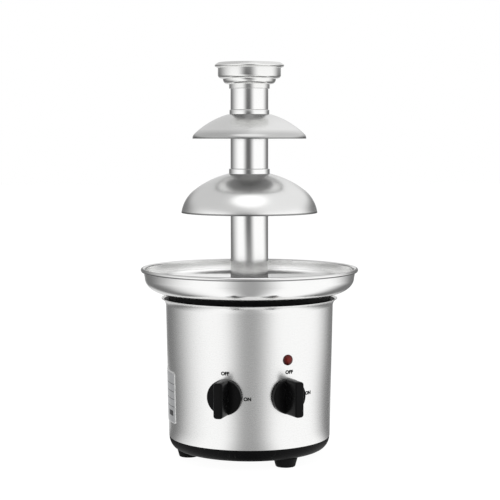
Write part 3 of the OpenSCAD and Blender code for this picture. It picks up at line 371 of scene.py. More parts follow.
def plasticMaterial(name, colour, roughness, scale, depth, patch=0.12, specular=0.5):
    material, work, shader, point = startMaterial(name)
    grain = placeGroup(work, "grain", point, Scale=scale)
    worn = placeGroup(work, "wear", point, Amount=mouldedFinish["scratches"])
    shade = work.mix(grain["Patch"], tone(colour, 1 - patch), tone(colour, 1 + patch))
    pale = [c * mouldedFinish["scratchShare"] + mouldedFinish["scratchLift"] for c in colour]
    shade = work.mix(worn["Mask"], shade, tone(pale, mouldedFinish["scratchTone"]))
    finer, coarser = mouldedFinish["grainRough"]
    rough = work.maths("ADD", work.remap(grain["Grain"], *noiseRange, roughness + finer, roughness + coarser),
                       work.remap(grain["Patch"], *noiseRange, *mouldedFinish["patchRough"]))
    bump = work.add("ShaderNodeBump", {"Height": grain["Grain"], "Strength": 1.0, "Distance": depth})
    join(work, shader, shade, rough, bump)
    shader.inputs["Specular IOR Level"].default_value = specular
    return material


def metalMaterial(name, colour, roughness, scale, depth, patch=0.1):
    material = plasticMaterial(name, colour, roughness, scale, depth, patch)
    material.node_tree.nodes["Principled BSDF"].inputs["Metallic"].default_value = 1.0
    return material


# Lamp lens: a low dome on a stem, deep red, with painted shade darkening it towards the rim around a middle
# set a little high as a painted highlight
lens = {
    "azimuth": 21.3, "height": 107 * mm, "seat": 82.018 * mm, "radius": 5.2 * mm, "proud": 3 * mm,
    "stem": 3.9 * mm, "stemLength": 9 * mm, "edge": 0.15 * mm, "edgeTurn": 1.5, "litMiddleLift": 0.6 * mm,
    "litMiddleShare": 0.3, "grain": 600.0, "deep": (0.16, 0.010, 0.006, 1), "clear": (0.24, 0.018, 0.010, 1),
    "rim": (0.03, 0.002, 0.002, 1), "rough": (0.08, 0.16), "specular": 0.22,
}


def lampMaterial():
    material, work, shader, point = startMaterial("lampRed")
    grain = placeGroup(work, "grain", point, Scale=lens["grain"])
    parts = work.parts(point)
    turned = math.radians(lens["azimuth"])
    across = work.maths("MULTIPLY", parts[0], math.cos(turned))
    across = work.maths("MULTIPLY_ADD", parts[1], math.sin(turned), across)
    up = work.maths("SUBTRACT", parts[2], lens["height"] + lens["litMiddleLift"])
    # painted shade towards the rim, around a middle lifted a little as a painted highlight
    fade = work.remap(work.length(across, up), lens["litMiddleShare"] * lens["radius"], lens["radius"], 0.0, 1.0)
    shade = work.mix(fade, work.mix(grain["Patch"], lens["deep"], lens["clear"]), lens["rim"])
    join(work, shader, shade, work.remap(grain["Grain"], *noiseRange, *lens["rough"]))
    shader.inputs["Specular IOR Level"].default_value = lens["specular"]
    return material


# Thin stamped iron sheets stacked along Z, with a little rust
stacked = {
    "sheet": 0.8 * mm, "depth": 0.05 * mm, "grain": 900.0, "dark": (0.16, 0.16, 0.17, 1),
    "pale": (0.4, 0.4, 0.41, 1), "rust": (0.3, 0.24, 0.2, 1), "rustShare": 0.4, "rough": (0.4, 0.55),
}


def laminatedMaterial():
    material, work, shader, point = startMaterial("stackedIron")
    wave = work.maths("SINE", work.maths("MULTIPLY", work.parts(point)[2], 2 * math.pi / stacked["sheet"]))
    grain = placeGroup(work, "grain", point, Scale=stacked["grain"])
    shade = work.mix(work.remap(wave, -1.0, 1.0, 0.0, 1.0), stacked["dark"], stacked["pale"])
    shade = work.mix(work.maths("MULTIPLY", grain["Patch"], stacked["rustShare"]), shade, stacked["rust"])
    bump = work.add("ShaderNodeBump", {"Height": wave, "Strength": 1.0, "Distance": stacked["depth"]})
    join(work, shader, shade, work.remap(grain["Grain"], *noiseRange, *stacked["rough"]), bump)
    shader.inputs["Metallic"].default_value = 1.0
    return material


# Rating plate, and its foil with a pale border and no words
plate = {
    "azimuth": -90.0, "angle": 43.6, "radius": 81 * mm, "low": 38 * mm, "high": 89 * mm, "corner": 2.5 * mm,
    "border": 1.4 * mm, "thickness": 0.36 * mm, "gap": 0.03 * mm, "strips": 12,
    "grain": 2600.0, "foil": [(0.68, 0.69, 0.70, 1), (0.76, 0.77, 0.78, 1)], "edging": (0.97, 0.97, 0.97, 1),
    "ink": (0.09, 0.09, 0.095, 1), "rough": (0.34, 0.42), "metallic": 0.7,
}
# Its print in millimetres, across from the middle and up from the table. A post is its place, foot and top,
# and the block is its middle and half its size each way.
plateLines = {
    "half": 0.28, "rules": [54.5, 62.0, 69.5, 77.0], "blockUp": (47.8, 2.6), "blockAcross": (-19.0, 6.4),
    "posts": [(0.0, 54.5, 69.5), (7.5, 69.5, 77.0), (-7.5, 47.0, 54.5)],
}


def plateMaterial():
    material, work, shader, point = startMaterial("plateFoil")
    grain = placeGroup(work, "grain", point, Scale=plate["grain"])
    parts = work.parts(point)
    radius, low, high, border = (plate[key] / mm for key in ("radius", "low", "high", "border"))
    bearing = work.maths("ARCTAN2", parts[1], work.maths("MULTIPLY", parts[0], -1.0))
    across = work.maths("MULTIPLY", bearing, radius)
    up = work.maths("MULTIPLY", parts[2], 1 / mm)
    half = math.radians(plate["angle"] / 2) * radius
    sides = work.maths("SUBTRACT", work.maths("ABSOLUTE", across), half - border)
    ends = work.maths("ABSOLUTE", work.maths("SUBTRACT", up, (low + high) / 2))
    ends = work.maths("SUBTRACT", ends, (high - low) / 2 - border)
    inside = work.maths("LESS_THAN", work.maths("MAXIMUM", sides, ends), 0.0)
    printed = work.maths("MULTIPLY", work.maths("COMPARE", up, *plateLines["blockUp"]),
                         work.maths("COMPARE", across, *plateLines["blockAcross"]))
    for level in plateLines["rules"]:
        printed = work.maths("MAXIMUM", printed, work.maths("COMPARE", up, level, plateLines["half"]))
    for place, foot, top in plateLines["posts"]:
        post = work.maths("MULTIPLY", work.maths("COMPARE", across, place, plateLines["half"]),
                          work.maths("COMPARE", up, (foot + top) / 2, (top - foot) / 2))
        printed = work.maths("MAXIMUM", printed, post)
    shade = work.mix(inside, plate["edging"], work.mix(grain["Patch"], *plate["foil"]))
    shade = work.mix(work.maths("MULTIPLY", inside, printed), shade, plate["ink"])
    join(work, shader, shade, work.remap(grain["Grain"], *noiseRange, *plate["rough"]))
    shader.inputs["Metallic"].default_value = plate["metallic"]
    return material


# After its colour and roughness, each steel has its lines in a metre and their depth, and each of the others
# has the scale and depth of its grain
paint = {
    "drum": steelMaterial("drumSteel", (0.80, 0.80, 0.795), 0.27, 2600.0, 3e-7),
    "bowl": steelMaterial("bowlSteel", (0.82, 0.82, 0.815), 0.18, 2200.0, 2e-7),
    # painted light: a paler copy of the bowl's steel, for its inside faces
    "bowlInsideLit": steelMaterial("bowlInsideLitSteel", (0.95, 0.95, 0.945), 0.2, 2200.0, 2e-7),
    "lowerDome": steelMaterial("lowerDomeSteel", (0.84, 0.84, 0.835), 0.25, 2000.0, 1.5e-7, contrast=0.012),
    # the upper dome's ring is painted shade, darker towards its rim
    "upperDome": steelMaterial("upperDomeSteel", (0.84, 0.84, 0.835), 0.25, 2000.0, 1.5e-7, contrast=0.012,
                               ring=(0.0540, 0.0495, 0.3)),
    # painted shade: a darker copy of the steel, put on undersides, the dome rims and the bowl's bead
    "under": steelMaterial("shadedSteel", (0.25, 0.25, 0.25), 0.36, 1800.0, 6e-7, contrast=0.04),
    "tube": steelMaterial("tubeSteel", (0.84, 0.84, 0.835), 0.13, 2400.0, 2e-7),
    "crown": steelMaterial("crownSteel", (0.80, 0.80, 0.79), 0.17, 1500.0, 8e-7, contrast=0.05),
    "plated": metalMaterial("platedSteel", (0.62, 0.62, 0.61), 0.32, 900.0, 4e-6),
    "aluminium": metalMaterial("castAluminium", (0.74, 0.74, 0.75), 0.42, 700.0, 1.2e-5),
    "sheath": metalMaterial("elementSheath", (0.34, 0.31, 0.28), 0.4, 800.0, 6e-6, 0.25),
    "bronze": metalMaterial("sinteredBronze", (0.6, 0.42, 0.2), 0.38, 1600.0, 8e-6, 0.15),
    "copper": metalMaterial("enamelledCopper", (0.62, 0.27, 0.12), 0.3, 1200.0, 1.5e-5, 0.15),
    "foil": plateMaterial(),
    "iron": laminatedMaterial(),
    "black": plasticMaterial("mattBlack", (0.0045, 0.0045, 0.0048), 0.46, 1900.0, 8e-6, specular=0.06),
    "knob": plasticMaterial("knobBlack", (0.0035, 0.0035, 0.0037), 0.26, 1500.0, 2e-6, specular=0.08),
    "rubber": plasticMaterial("footRubber", (0.008, 0.008, 0.008), 0.7, 1100.0, 1.5e-5, 0.2, 0.1),
    "ink": plasticMaterial("printBlack", (0.006, 0.006, 0.006), 0.5, 2200.0, 2e-6, specular=0.05),
    "food": plasticMaterial("foodWhite", (0.82, 0.815, 0.79), 0.36, 900.0, 8e-6, 0.04),
    "acetal": plasticMaterial("gearAcetal", (0.80, 0.79, 0.74), 0.4, 1300.0, 5e-6, 0.05),
    "silicone": plasticMaterial("sealSilicone", (0.56, 0.54, 0.51), 0.55, 700.0, 1e-5, 0.08),
    "ceramic": plasticMaterial("whiteCeramic", (0.78, 0.76, 0.7), 0.6, 1500.0, 1.6e-5, 0.06),
    "lamp": lampMaterial(),
}
print("materials made:", len(paint))

# The finish of each CAD node
finishOf = {
    "black": "base_tray cord_gland gland_nut lamp_holder cooling_fan motor_switch heat_switch "
             "insulating_ring",
    "plated": "bowl_studs weld_nuts tie_rods tie_rod_nuts foot_screws stud_spacers stud_nuts motor_bracket "
              "gearbox_plate gearbox_pillars idler_pin heater_clamp heat_shield motor_can motor_end_cap "
              "motor_screws switch_nuts drive_shaft gear_pin rotor_shaft motor_spindle heat_spindle",
    "aluminium": "heater_plate", "sheath": "heating_element", "bronze": "shaft_bush foot_bush motor_pinion",
    "copper": "stator_coils", "iron": "stator_core rotor_core", "food": "auger",
    "acetal": "output_gear idler_gear", "silicone": "shaft_seal",
    "ceramic": "thermostat thermal_fuse terminal_block", "foil": "rating_plate", "bowl": "bowl tower_pegs",
    "drum": "drum_shell", "lowerDome": "lower_dome", "upperDome": "upper_dome",
    "tube": "lower_tube middle_tube upper_tube", "crown": "crown_cup", "rubber": "foot_pads",
    "knob": "motor_knob heat_knob", "lamp": "lamp_lens",
}
for kind, names in finishOf.items():
    for name in names.split():
        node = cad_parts[name]
        node.data.materials.clear()
        node.data.materials.append(paint[kind])

# Drum
drum = {
    "bottomRadius": 80.1 * mm, "topRadius": 82.7 * mm, "sheet": 0.8 * mm, "bottom": 21.6 * mm, "rings": 12,
    "flareStart": 151.156 * mm, "flareBend": 8 * mm, "flareTurn": 61.5,
}


def drumRadius(z):
    share = (z - drum["bottom"]) / (drum["flareStart"] - drum["bottom"])
    return drum["bottomRadius"] + (drum["topRadius"] - drum["bottomRadius"]) * share


def makeDrum():
    flareCentre = (drum["topRadius"] + drum["flareBend"], drum["flareStart"])
    rise = drum["flareStart"] - drum["bottom"]
    heights = [drum["bottom"] + rise * i / drum["rings"] for i in range(drum["rings"])]
    path = [(drumRadius(z), z) for z in heights]
    path += arcPoints(flareCentre, drum["flareBend"], 180, 180 - drum["flareTurn"], 18)
    piece = lathe("drumShell", sheetOutline(path, drum["sheet"]), paint["drum"])
    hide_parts("drum_shell")
    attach(piece, "base")


makeDrum()
print("drum made")

# Bowl. A face's turn is how far its normal points outwards or upwards, from -1 to 1.
bowl = {
    "rim": 107.5 * mm, "bead": 1.9 * mm, "sheet": 1.0 * mm, "wall": 104.8 * mm, "lean": 1.2 * mm,
    "flat": 80.6 * mm, "cornerHeight": 15.5 * mm, "hole": 9.05 * mm, "under": 163.3 * mm, "top": 188.3 * mm,
    "shadeLineDepth": 4.5 * mm, "shadeLineTurn": -0.25, "shadedCrestTurn": (0.05, 0.5), "floorTurn": 0.5,
}


def refinish(piece, kind, test):
    # gives the faces that pass the test another material
    piece.data.materials.append(paint[kind])
    for face in piece.data.polygons:
        out = math.hypot(face.center.x, face.center.y)
        facing = (face.normal.x * face.center.x + face.normal.y * face.center.y) / max(out, least)
        if test(out, face.center.z, facing, face.normal.z):
            face.material_index = len(piece.data.materials) - 1


def makeBowl():
    width = bowl["wall"] - bowl["lean"] - bowl["flat"]
    corner = (bowl["flat"], bowl["under"] + bowl["cornerHeight"])
    bead = (bowl["rim"] - bowl["bead"], bowl["top"] - bowl["bead"])
    outer = [(bowl["hole"], bowl["under"])] + ovalPoints(corner, width, bowl["cornerHeight"], -90, 0, 32)
    inner = ovalPoints(corner, width - bowl["sheet"], bowl["cornerHeight"] - bowl["sheet"], 0, -90, 32)
    inner += [(bowl["hole"], bowl["under"] + bowl["sheet"])]
    start = 360 - math.degrees(math.acos((bowl["wall"] - bead[0]) / bowl["bead"]))
    end = 720 - math.degrees(math.acos((bowl["wall"] - bowl["sheet"] - bead[0]) / bowl["bead"]))
    rim = arcPoints(bead, bowl["bead"], start, end, 28)
    piece = lathe("bowlPan", outer + rim + inner, paint["bowl"], steps=288)
    low, (crestFrom, crestTo) = bowl["top"] - bowl["shadeLineDepth"], bowl["shadedCrestTurn"]

    def shadedOnBead(out, z, facing, up):
        # painted shade: the bead's underside and a strip over its crest
        line = low < z < bead[1] and out > bowl["wall"] and up < bowl["shadeLineTurn"]
        return line or (z > bead[1] and crestFrom < facing < crestTo)

    def isInside(out, z, facing, up):
        return z < bead[1] and (facing < 0 or up > bowl["floorTurn"]) and out < bowl["wall"]

    # painted shade on the bead's underside and over its crest
    refinish(piece, "under", shadedOnBead)
    # painted light: the bowl's inside faces take the paler copy of its steel
    refinish(piece, "bowlInsideLit", isInside)
    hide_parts("bowl")
    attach(piece, "base")


makeBowl()
print("bowl made")

# Domes: satin outside, with painted shade (the darker steel) in a line along the rim and inside up to a given
# radius
domes = {
    "lower": {
        "seat": 281.0 * mm, "reach": 67.5 * mm, "curve": 89.1 * mm, "edge": 34.0 * mm, "end": 8.2,
        "rim": 242.8 * mm, "shadedReach": 60 * mm,
    },
    "upper": {
        "seat": 339.3 * mm, "reach": 56.0 * mm, "curve": 77.4 * mm, "edge": 6.0 * mm, "end": 0.6,
        "rim": 315.6 * mm, "shadedReach": 41 * mm,
    },
    "seatRadius": 21.6 * mm, "hole": 19.05 * mm, "sheet": 0.8 * mm, "line": 1.1 * mm,
}


def makeDome(name, node, body, size):
    curveZ = size["seat"] - math.sqrt(size["curve"] ** 2 - domes["seatRadius"] ** 2)
    edgeX = size["reach"] - size["edge"]
    edgeZ = curveZ + math.sqrt((size["curve"] - size["edge"]) ** 2 - edgeX ** 2)
    bend = math.degrees(math.atan2(edgeZ - curveZ, edgeX))
    start = math.degrees(math.acos(domes["seatRadius"] / size["curve"]))
    path = [(domes["hole"], size["seat"])]
    path += arcPoints((0, curveZ), size["curve"], start, bend, 36)
    path += arcPoints((edgeX, edgeZ), size["edge"], bend, size["end"], 24)[1:]
    piece = lathe(name, sheetOutline(path[::-1], domes["sheet"]), paint[name])
    low = size["rim"] + domes["line"]
    # painted shade: the rim line and the inside near the tube take the darker steel
    refinish(piece, "under", lambda out, z, facing, up: z < low or (facing + up < 0 and out < size["shadedReach"]))
    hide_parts(node)
    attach(piece, body)


makeDome("lowerDome", "lower_dome", "lower_section", domes["lower"])
makeDome("upperDome", "upper_dome", "middle_section", domes["upper"])
print("domes made")

# Tube sections. The lower one stands on three posts between its intake ports, and a collar is its radius and
# height.
tubes = {
    "radius": 18.6 * mm, "wall": 0.8 * mm, "fit": 0.05 * mm, "edge": 0.2 * mm, "bottom": 164.3 * mm,
    "lowerTop": 284.8 * mm, "middleTop": 342.6 * mm, "upperTop": 374.2 * mm, "portHeight": 10.5 * mm,
    "portHalf": 29.3, "posts": (0, 120, 240), "postSteps": 24, "postInset": 0.02 * mm,
    "postOverlap": 0.4 * mm, "middleCollar": (20.1 * mm, 5.0 * mm), "upperCollar": (19.6 * mm, 4.5 * mm),
    "collarRound": 0.4 * mm, "collarStep": 0.25 * mm, "socketStop": 1 * mm,
}


def makeLowerTube():
    radius, bore, edge = tubes["radius"], tubes["radius"] - tubes["wall"], tubes["edge"]
    low, top = tubes["bottom"] + tubes["portHeight"], tubes["lowerTop"]
    bm = bmesh.new()
    turn(bm, [(radius, low), (radius, top - edge), (radius - edge, top), (bore + edge, top),
              (bore, top - edge), (bore, low)], steps=192)
    outer, inner = radius - tubes["postInset"], bore + tubes["postInset"]
    joined = low + tubes["postOverlap"]
    section = [(outer, tubes["bottom"]), (outer, joined), (inner, joined), (inner, tubes["bottom"])]
    width = 120 - 2 * tubes["portHalf"]
    for azimuth in tubes["posts"]:
        rings = []
        for step in range(tubes["postSteps"] + 1):
            angle = math.radians(azimuth - width / 2 + width * step / tubes["postSteps"])
            rings.append([(r * math.sin(angle), -r * math.cos(angle), z) for r, z in section])
        stackRings(bm, rings)
    bmesh.ops.recalc_face_normals(bm, faces=bm.faces)
    piece = finishMesh("lowerTube", bm, paint["tube"], sharp=30)
    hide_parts("lower_tube")
    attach(piece, "lower_section")


def makeSocketTube(name, node, body, bottom, top, collar):
    radius, bore, edge = tubes["radius"], tubes["radius"] - tubes["wall"], tubes["edge"]
    socket, bend = radius + tubes["fit"], tubes["collarRound"]
    collarTop, shoulder = bottom + collar[1], bottom + collar[1] - tubes["socketStop"]
    outline = [(socket, bottom), (collar[0] - edge, bottom), (collar[0], bottom + edge)]
    outline += arcPoints((collar[0] - bend, collarTop - bend), bend, 0, 90, 5)
    outline += [(radius, collarTop + tubes["collarStep"]), (radius, top - edge), (radius - edge, top),
                (bore + edge, top), (bore, top - edge), (bore, shoulder), (socket, shoulder)]
    piece = lathe(name, outline, paint["tube"], steps=192, sharp=30)
    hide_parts(node)
    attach(piece, body)


makeLowerTube()
makeSocketTube("middleTube", "middle_tube", "middle_section", domes["lower"]["seat"], tubes["middleTop"],
               tubes["middleCollar"])
makeSocketTube("upperTube", "upper_tube", "top_section", domes["upper"]["seat"], tubes["upperTop"],
               tubes["upperCollar"])
print("tubes made")

# Crown
crown = {
    "bottom": 364.4 * mm, "top": 390 * mm, "neck": 20 * mm, "neckHeight": 4.5 * mm, "neckEdge": 0.3 * mm,
    "neckStep": 1.6 * mm, "round": 26.1 * mm, "roundZ": 374.0 * mm, "roundStep": 0.6 * mm, "wall": 31 * mm,
    "wallZ": 377.6 * mm, "wallRise": 3.4 * mm, "lipZ": 387.0 * mm, "lipStart": 384.6 * mm,
    "lipRadius": 1.4 * mm, "lipX": 32.7 * mm, "lipTurn": 50, "lipEdge": 0.2 * mm, "inner": 29.4 * mm,
    "mouth": 0.8 * mm, "floor": 376.2 * mm, "floorBend": 3 * mm, "floorRise": 4 * mm, "socket": 374.2 * mm,
}


def makeCrown():
    bore, socket = tubes["radius"] - tubes["wall"], tubes["radius"] + tubes["fit"]
    neck, edge, bottom = crown["neck"], crown["neckEdge"], crown["bottom"]
    low = bottom + crown["neckHeight"]
    outline = [(socket, bottom), (neck - edge, bottom), (neck, bottom + edge), (neck, low)]
    start = neck + crown["neckStep"]
    outline += ovalPoints((start, crown["roundZ"]), crown["round"] - start, crown["roundZ"] - low, -90, 0, 14)
    start = crown["round"] + crown["roundStep"]
    outline += ovalPoints((start, crown["wallZ"]), crown["wall"] - start, crown["wallRise"], -90, 0, 14)
    outline += [(crown["wall"], crown["lipStart"])]
    mouth, bend, lipTurn = crown["mouth"], crown["floorBend"], crown["lipTurn"]
    outline += arcPoints((crown["lipX"], crown["lipZ"]), crown["lipRadius"], -lipTurn, lipTurn, 12)
    outline += [(crown["wall"] - crown["lipEdge"], crown["top"])]
    outline += arcPoints((crown["inner"] + mouth, crown["top"] - mouth), mouth, 90, 180, 6)
    outline += arcPoints((crown["inner"] - bend, crown["floor"] + crown["floorRise"]), bend, 0, -90, 8)
    outline += [(bore, crown["floor"]), (bore, crown["socket"]), (socket, crown["socket"])]
    piece = lathe("crownCup", outline, paint["crown"], steps=192, sharp=30)
    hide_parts("crown_cup")
    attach(piece, "crown")


makeCrown()
print("crown made")

# Auger: core, one helical flight and a pointed top
auger = {
    "bottom": 168.0 * mm, "top": 376.4 * mm, "core": 6.45 * mm, "coreEdge": 0.4 * mm, "bore": 4.05 * mm,
    "boreDepth": 20.5 * mm, "tip": 1.5 * mm, "tipHeight": 7 * mm, "tipFlare": 0.5 * mm, "tipEdge": 0.6 * mm,
    "flight": 16.2 * mm, "root": 5.65 * mm, "start": 170.0 * mm, "end": 365.4 * mm, "pitch": 28 * mm,
    "rootHalf": 1.2 * mm, "tipHalf": 0.7 * mm, "fillet": 1 * mm, "filletShare": 0.78, "lip": 0.3 * mm,
    "lipShare": 0.5, "stepsPerTurn": 72,
}


def makeAuger():
    low, high, top = auger["bottom"], auger["top"] - auger["tipHeight"], auger["top"]
    core, edge, bore, end = auger["core"], auger["coreEdge"], auger["bore"], low + auger["boreDepth"]
    tip, tipEdge = auger["tip"], auger["tipEdge"]
    bm = bmesh.new()
    turn(bm, [(0, end), (bore, end), (bore, low), (core - edge, low), (core, low + edge), (core, high),
              (tip + auger["tipFlare"], top - tipEdge), (tip - tipEdge, top), (0, top)], steps=96,
         closed=False)
    rootHalf, tipHalf = auger["rootHalf"], auger["tipHalf"]
    lower = [(auger["root"], -rootHalf), (core + auger["fillet"], -rootHalf * auger["filletShare"]),
             (auger["flight"] - auger["lip"], -tipHalf), (auger["flight"], -tipHalf * auger["lipShare"])]
    section = lower + [(r, -h) for r, h in lower[::-1]]
    turns = (auger["end"] - auger["start"]) / auger["pitch"]
    steps = int(turns * auger["stepsPerTurn"])
    rings = []
    for step in range(steps + 1):
        angle = 2 * math.pi * turns * step / steps
        z = auger["start"] + (auger["end"] - auger["start"]) * step / steps
        rings.append([(r * math.cos(angle), r * math.sin(angle), z + h) for r, h in section])
    stackRings(bm, rings)
    bmesh.ops.recalc_face_normals(bm, faces=bm.faces)
    piece = finishMesh("augerScrew", bm, paint["food"], sharp=40)
    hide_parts("auger")
    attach(piece, "auger")


makeAuger()
print("auger made")

# Feet
feet = {
    "height": 9 * mm, "topRadius": 12.25 * mm, "bottomRadius": 9.5 * mm, "ring": 60.6 * mm, "edge": 0.8 * mm,
    "edgeTurn": (-80, -17), "edgeShare": 0.5, "chamfer": 0.3 * mm, "recess": 4.5 * mm,
    "recessHeight": 4.5 * mm, "hole": 1.9 * mm, "azimuths": (30, 150, 270),
}


def makeFeet():
    low, high, edge, chamfer = feet["bottomRadius"], feet["topRadius"], feet["edge"], feet["chamfer"]
    height, hole, recess, deep = feet["height"], feet["hole"], feet["recess"], feet["recessHeight"]
    slope = (high - low) / height
    outline = [(hole, height), (hole, deep), (recess, deep), (recess, chamfer), (recess + chamfer, 0),
               (low - edge, 0)]
    outline += arcPoints((low - edge + slope * edge * feet["edgeShare"], edge), edge, *feet["edgeTurn"], 5)
    outline += [(high - chamfer - slope * chamfer, height - chamfer), (high - 2 * chamfer, height)]
    bm = bmesh.new()
    for azimuth in feet["azimuths"]:
        place = Matrix.Rotation(math.radians(azimuth), 4, "Z") @ Matrix.Translation((0, -feet["ring"], 0))
        turn(bm, outline, place, steps=64)
    bmesh.ops.recalc_face_normals(bm, faces=bm.faces)
    piece = finishMesh("rubberFeet", bm, paint["rubber"], sharp=40)
    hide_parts("foot_pads")
    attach(piece, "base")


makeFeet()
print("feet made")

# Knobs: a disc with a grip bar across it
knob = {
    "azimuth": 21.3, "height": 72.5 * mm, "seat": 81.961 * mm, "radius": 16.9 * mm, "disc": 5 * mm,
    "proud": 24 * mm, "edge": 1.2 * mm, "chamfer": 0.3 * mm, "recess": 9 * mm, "recessDepth": 3 * mm,
    "bore": 3.05 * mm, "boreDepth": 15.5 * mm, "sleeve": 0.9 * mm, "sleeveEnd": 0.8 * mm,
    "barHalf": 4.5 * mm, "barDraft": 0.5 * mm, "barInset": 0.02 * mm, "barRoot": 0.8 * mm,
    "barEdge": 1.6 * mm, "barCorner": 2.6 * mm, "barShares": (0.33, 0.66, 1.0), "edgeSteps": 6,
}


def barRing(half, radius, corner, z):
    # a strip of a disc with rounded corners, at one height
    x = half - corner
    y = math.sqrt((radius - corner) ** 2 - x ** 2)
    turnEnd = math.degrees(math.atan2(y, x))
    quarter = [(half, 0), (half, y * 0.5)] + arcPoints((x, y), corner, 0, turnEnd, 6)
    quarter += arcPoints((0, 0), radius, turnEnd, 90, 6)[1:]
    top = quarter + [(-a, b) for a, b in quarter[:-1]][::-1]
    bottom = [(a, -b) for a, b in top[1:-1]][::-1]
    return [(a, b, z) for a, b in top + bottom]


def makeKnob(name, node, body, azimuth):
    place = onDrum(azimuth, knob["height"]) @ Matrix.Translation((0, 0, knob["seat"]))
    radius, disc, edge, chamfer = knob["radius"], knob["disc"], knob["edge"], knob["chamfer"]
    bore, deep, recess, step = knob["bore"], knob["boreDepth"], knob["recess"], knob["recessDepth"]
    sleeve, sleeveTop = bore + knob["sleeve"], deep + knob["sleeveEnd"]
    outline = [(0, deep), (bore, deep), (bore, step), (recess, step), (recess, 0), (radius - chamfer, 0),
               (radius, chamfer)]
    outline += arcPoints((radius - edge, disc - edge), edge, 0, 90, 8)
    outline += [(sleeve, disc), (sleeve, sleeveTop), (0, sleeveTop)]
    bm = bmesh.new()
    turn(bm, outline, place, steps=128, closed=False)
    half, draft, reach = knob["barHalf"], knob["barDraft"], radius - knob["barInset"]
    corner, bend = knob["barCorner"], knob["barEdge"]
    front = knob["proud"] - bend
    rings = [barRing(half + draft, reach, corner, disc - knob["barRoot"])]
    for share in knob["barShares"]:
        rings.append(barRing(half + draft * (1 - share), reach, corner, disc + (front - disc) * share))
    for i in range(knob["edgeSteps"]):
        angle = math.radians(90 * (i + 1) / knob["edgeSteps"])
        inset = bend * (1 - math.cos(angle))
        rings.append(barRing(half - inset, reach - inset, corner - inset, front + bend * math.sin(angle)))
    stackRings(bm, rings, place)
    bmesh.ops.recalc_face_normals(bm, faces=bm.faces)
    piece = finishMesh(name, bm, paint["knob"], sharp=40)
    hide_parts(node)
    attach(piece, body)


makeKnob("motorKnob", "motor_knob", "motor_control", -knob["azimuth"])
makeKnob("heatKnob", "heat_knob", "heat_control", knob["azimuth"])
print("knobs made")


def makeLens():
    radius, proud, stem, deep = lens["radius"], lens["proud"], lens["stem"], lens["stemLength"]
    ball = (radius ** 2 + proud ** 2) / (2 * proud)
    low = math.degrees(math.asin((ball - proud) / ball))
    outline = [(0, -deep), (stem, -deep), (stem, 0), (radius - lens["edge"], 0)]
    outline += arcPoints((0, proud - ball), ball, low + lens["edgeTurn"], 90, 16)
    place = onDrum(lens["azimuth"], lens["height"]) @ Matrix.Translation((0, 0, lens["seat"]))
    bm = bmesh.new()
    turn(bm, outline, place, steps=64, closed=False)
    bmesh.ops.recalc_face_normals(bm, faces=bm.faces)
    piece = finishMesh("lampLens", bm, paint["lamp"], sharp=40)
    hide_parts("lamp_lens")
    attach(piece, "base")


makeLens()


def makePlate():
    low, high, corner, strips = plate["low"], plate["high"], plate["corner"], plate["strips"]
    wide = math.radians(plate["angle"] / 2) * plate["radius"]
    outline = []
    for x, z, start in ((wide - corner, high - corner, 0), (-wide + corner, high - corner, 90),
                        (-wide + corner, low + corner, 180), (wide - corner, low + corner, 270)):
        outline += arcPoints((x, z), corner, start, start + 90, 6)
    bm = bmesh.new()
    bm.faces.new([bm.verts.new((x, 0, z)) for x, z in outline])
    for i in range(1 - strips, strips):
        bmesh.ops.bisect_plane(bm, geom=bm.verts[:] + bm.edges[:] + bm.faces[:], dist=weld,
                               plane_co=(wide * i / strips, 0, 0), plane_no=(1, 0, 0))
    grown = bmesh.ops.extrude_face_region(bm, geom=bm.faces[:])["geom"]
    raised = {v for v in grown if isinstance(v, bmesh.types.BMVert)}
    for vert in bm.verts:
        angle = math.radians(plate["azimuth"]) + vert.co.x / plate["radius"]
        out = drumRadius(vert.co.z) + (plate["thickness"] if vert in raised else plate["gap"])
        vert.co = (out * math.sin(angle), -out * math.cos(angle), vert.co.z)
    bmesh.ops.recalc_face_normals(bm, faces=bm.faces)
    piece = finishMesh("ratingPlate", bm, paint["foil"])
    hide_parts("rating_plate")
    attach(piece, "base")


makePlate()
print("lens and plate made")

# Generic words printed on the drum by each knob: name, word, azimuth and height
words = [
    ("offLeft", "OFF", -21.4, 94.6 * mm), ("offRight", "OFF", 22.4, 95.2 * mm),
    ("onLeft", "ON", -6.4, 70.6 * mm), ("onRight", "ON", 38.6, 73.0 * mm),
]
# Their capitals' height, and its share of the font's size
lettering = {"capital": 3.2 * mm, "share": 0.7, "bold": 0.26 * mm, "depth": 0.04 * mm, "proud": 0.06 * mm}


def makeWord(name, text, azimuth, height):
    curve = bpy.data.curves.new(name, "FONT")
    curve.body = text
    curve.align_x = "CENTER"
    curve.align_y = "CENTER"
    curve.size = lettering["capital"] / lettering["share"]
    curve.offset = lettering["bold"]
    curve.extrude = lettering["depth"]
    draft = bpy.data.objects.new(name + "Draft", curve)
    bpy.context.collection.objects.link(draft)
    bpy.context.view_layer.update()
    mesh = bpy.data.meshes.new_from_object(draft.evaluated_get(bpy.context.evaluated_depsgraph_get()))
    bpy.data.objects.remove(draft)
    bm = bmesh.new()
    bm.from_mesh(mesh)
    bmesh.ops.remove_doubles(bm, verts=bm.verts, dist=weld)
    for vert in bm.verts:
        z = height + vert.co.y
        out = drumRadius(z) + lettering["proud"] + vert.co.z
        angle = math.radians(azimuth) + vert.co.x / drumRadius(z)
        vert.co = (out * math.sin(angle), -out * math.cos(angle), z)
    bmesh.ops.recalc_face_normals(bm, faces=bm.faces)
    piece = finishMesh(name, bm, paint["ink"])
    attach(piece, "base")


for word in words:
    makeWord(*word)
print("words made")

# Studio: a white room, soft lamps, and a tent of soft panels that only reflections see
studio = {
    "floor": (0.9, 0.9, 0.9, 1), "white": (1, 1, 1, 1), "floorSize": 8.0, "ambient": 0.62, "floorGlow": 1.14,
    "floorShare": 0.84, "lampAim": 0.2,
}
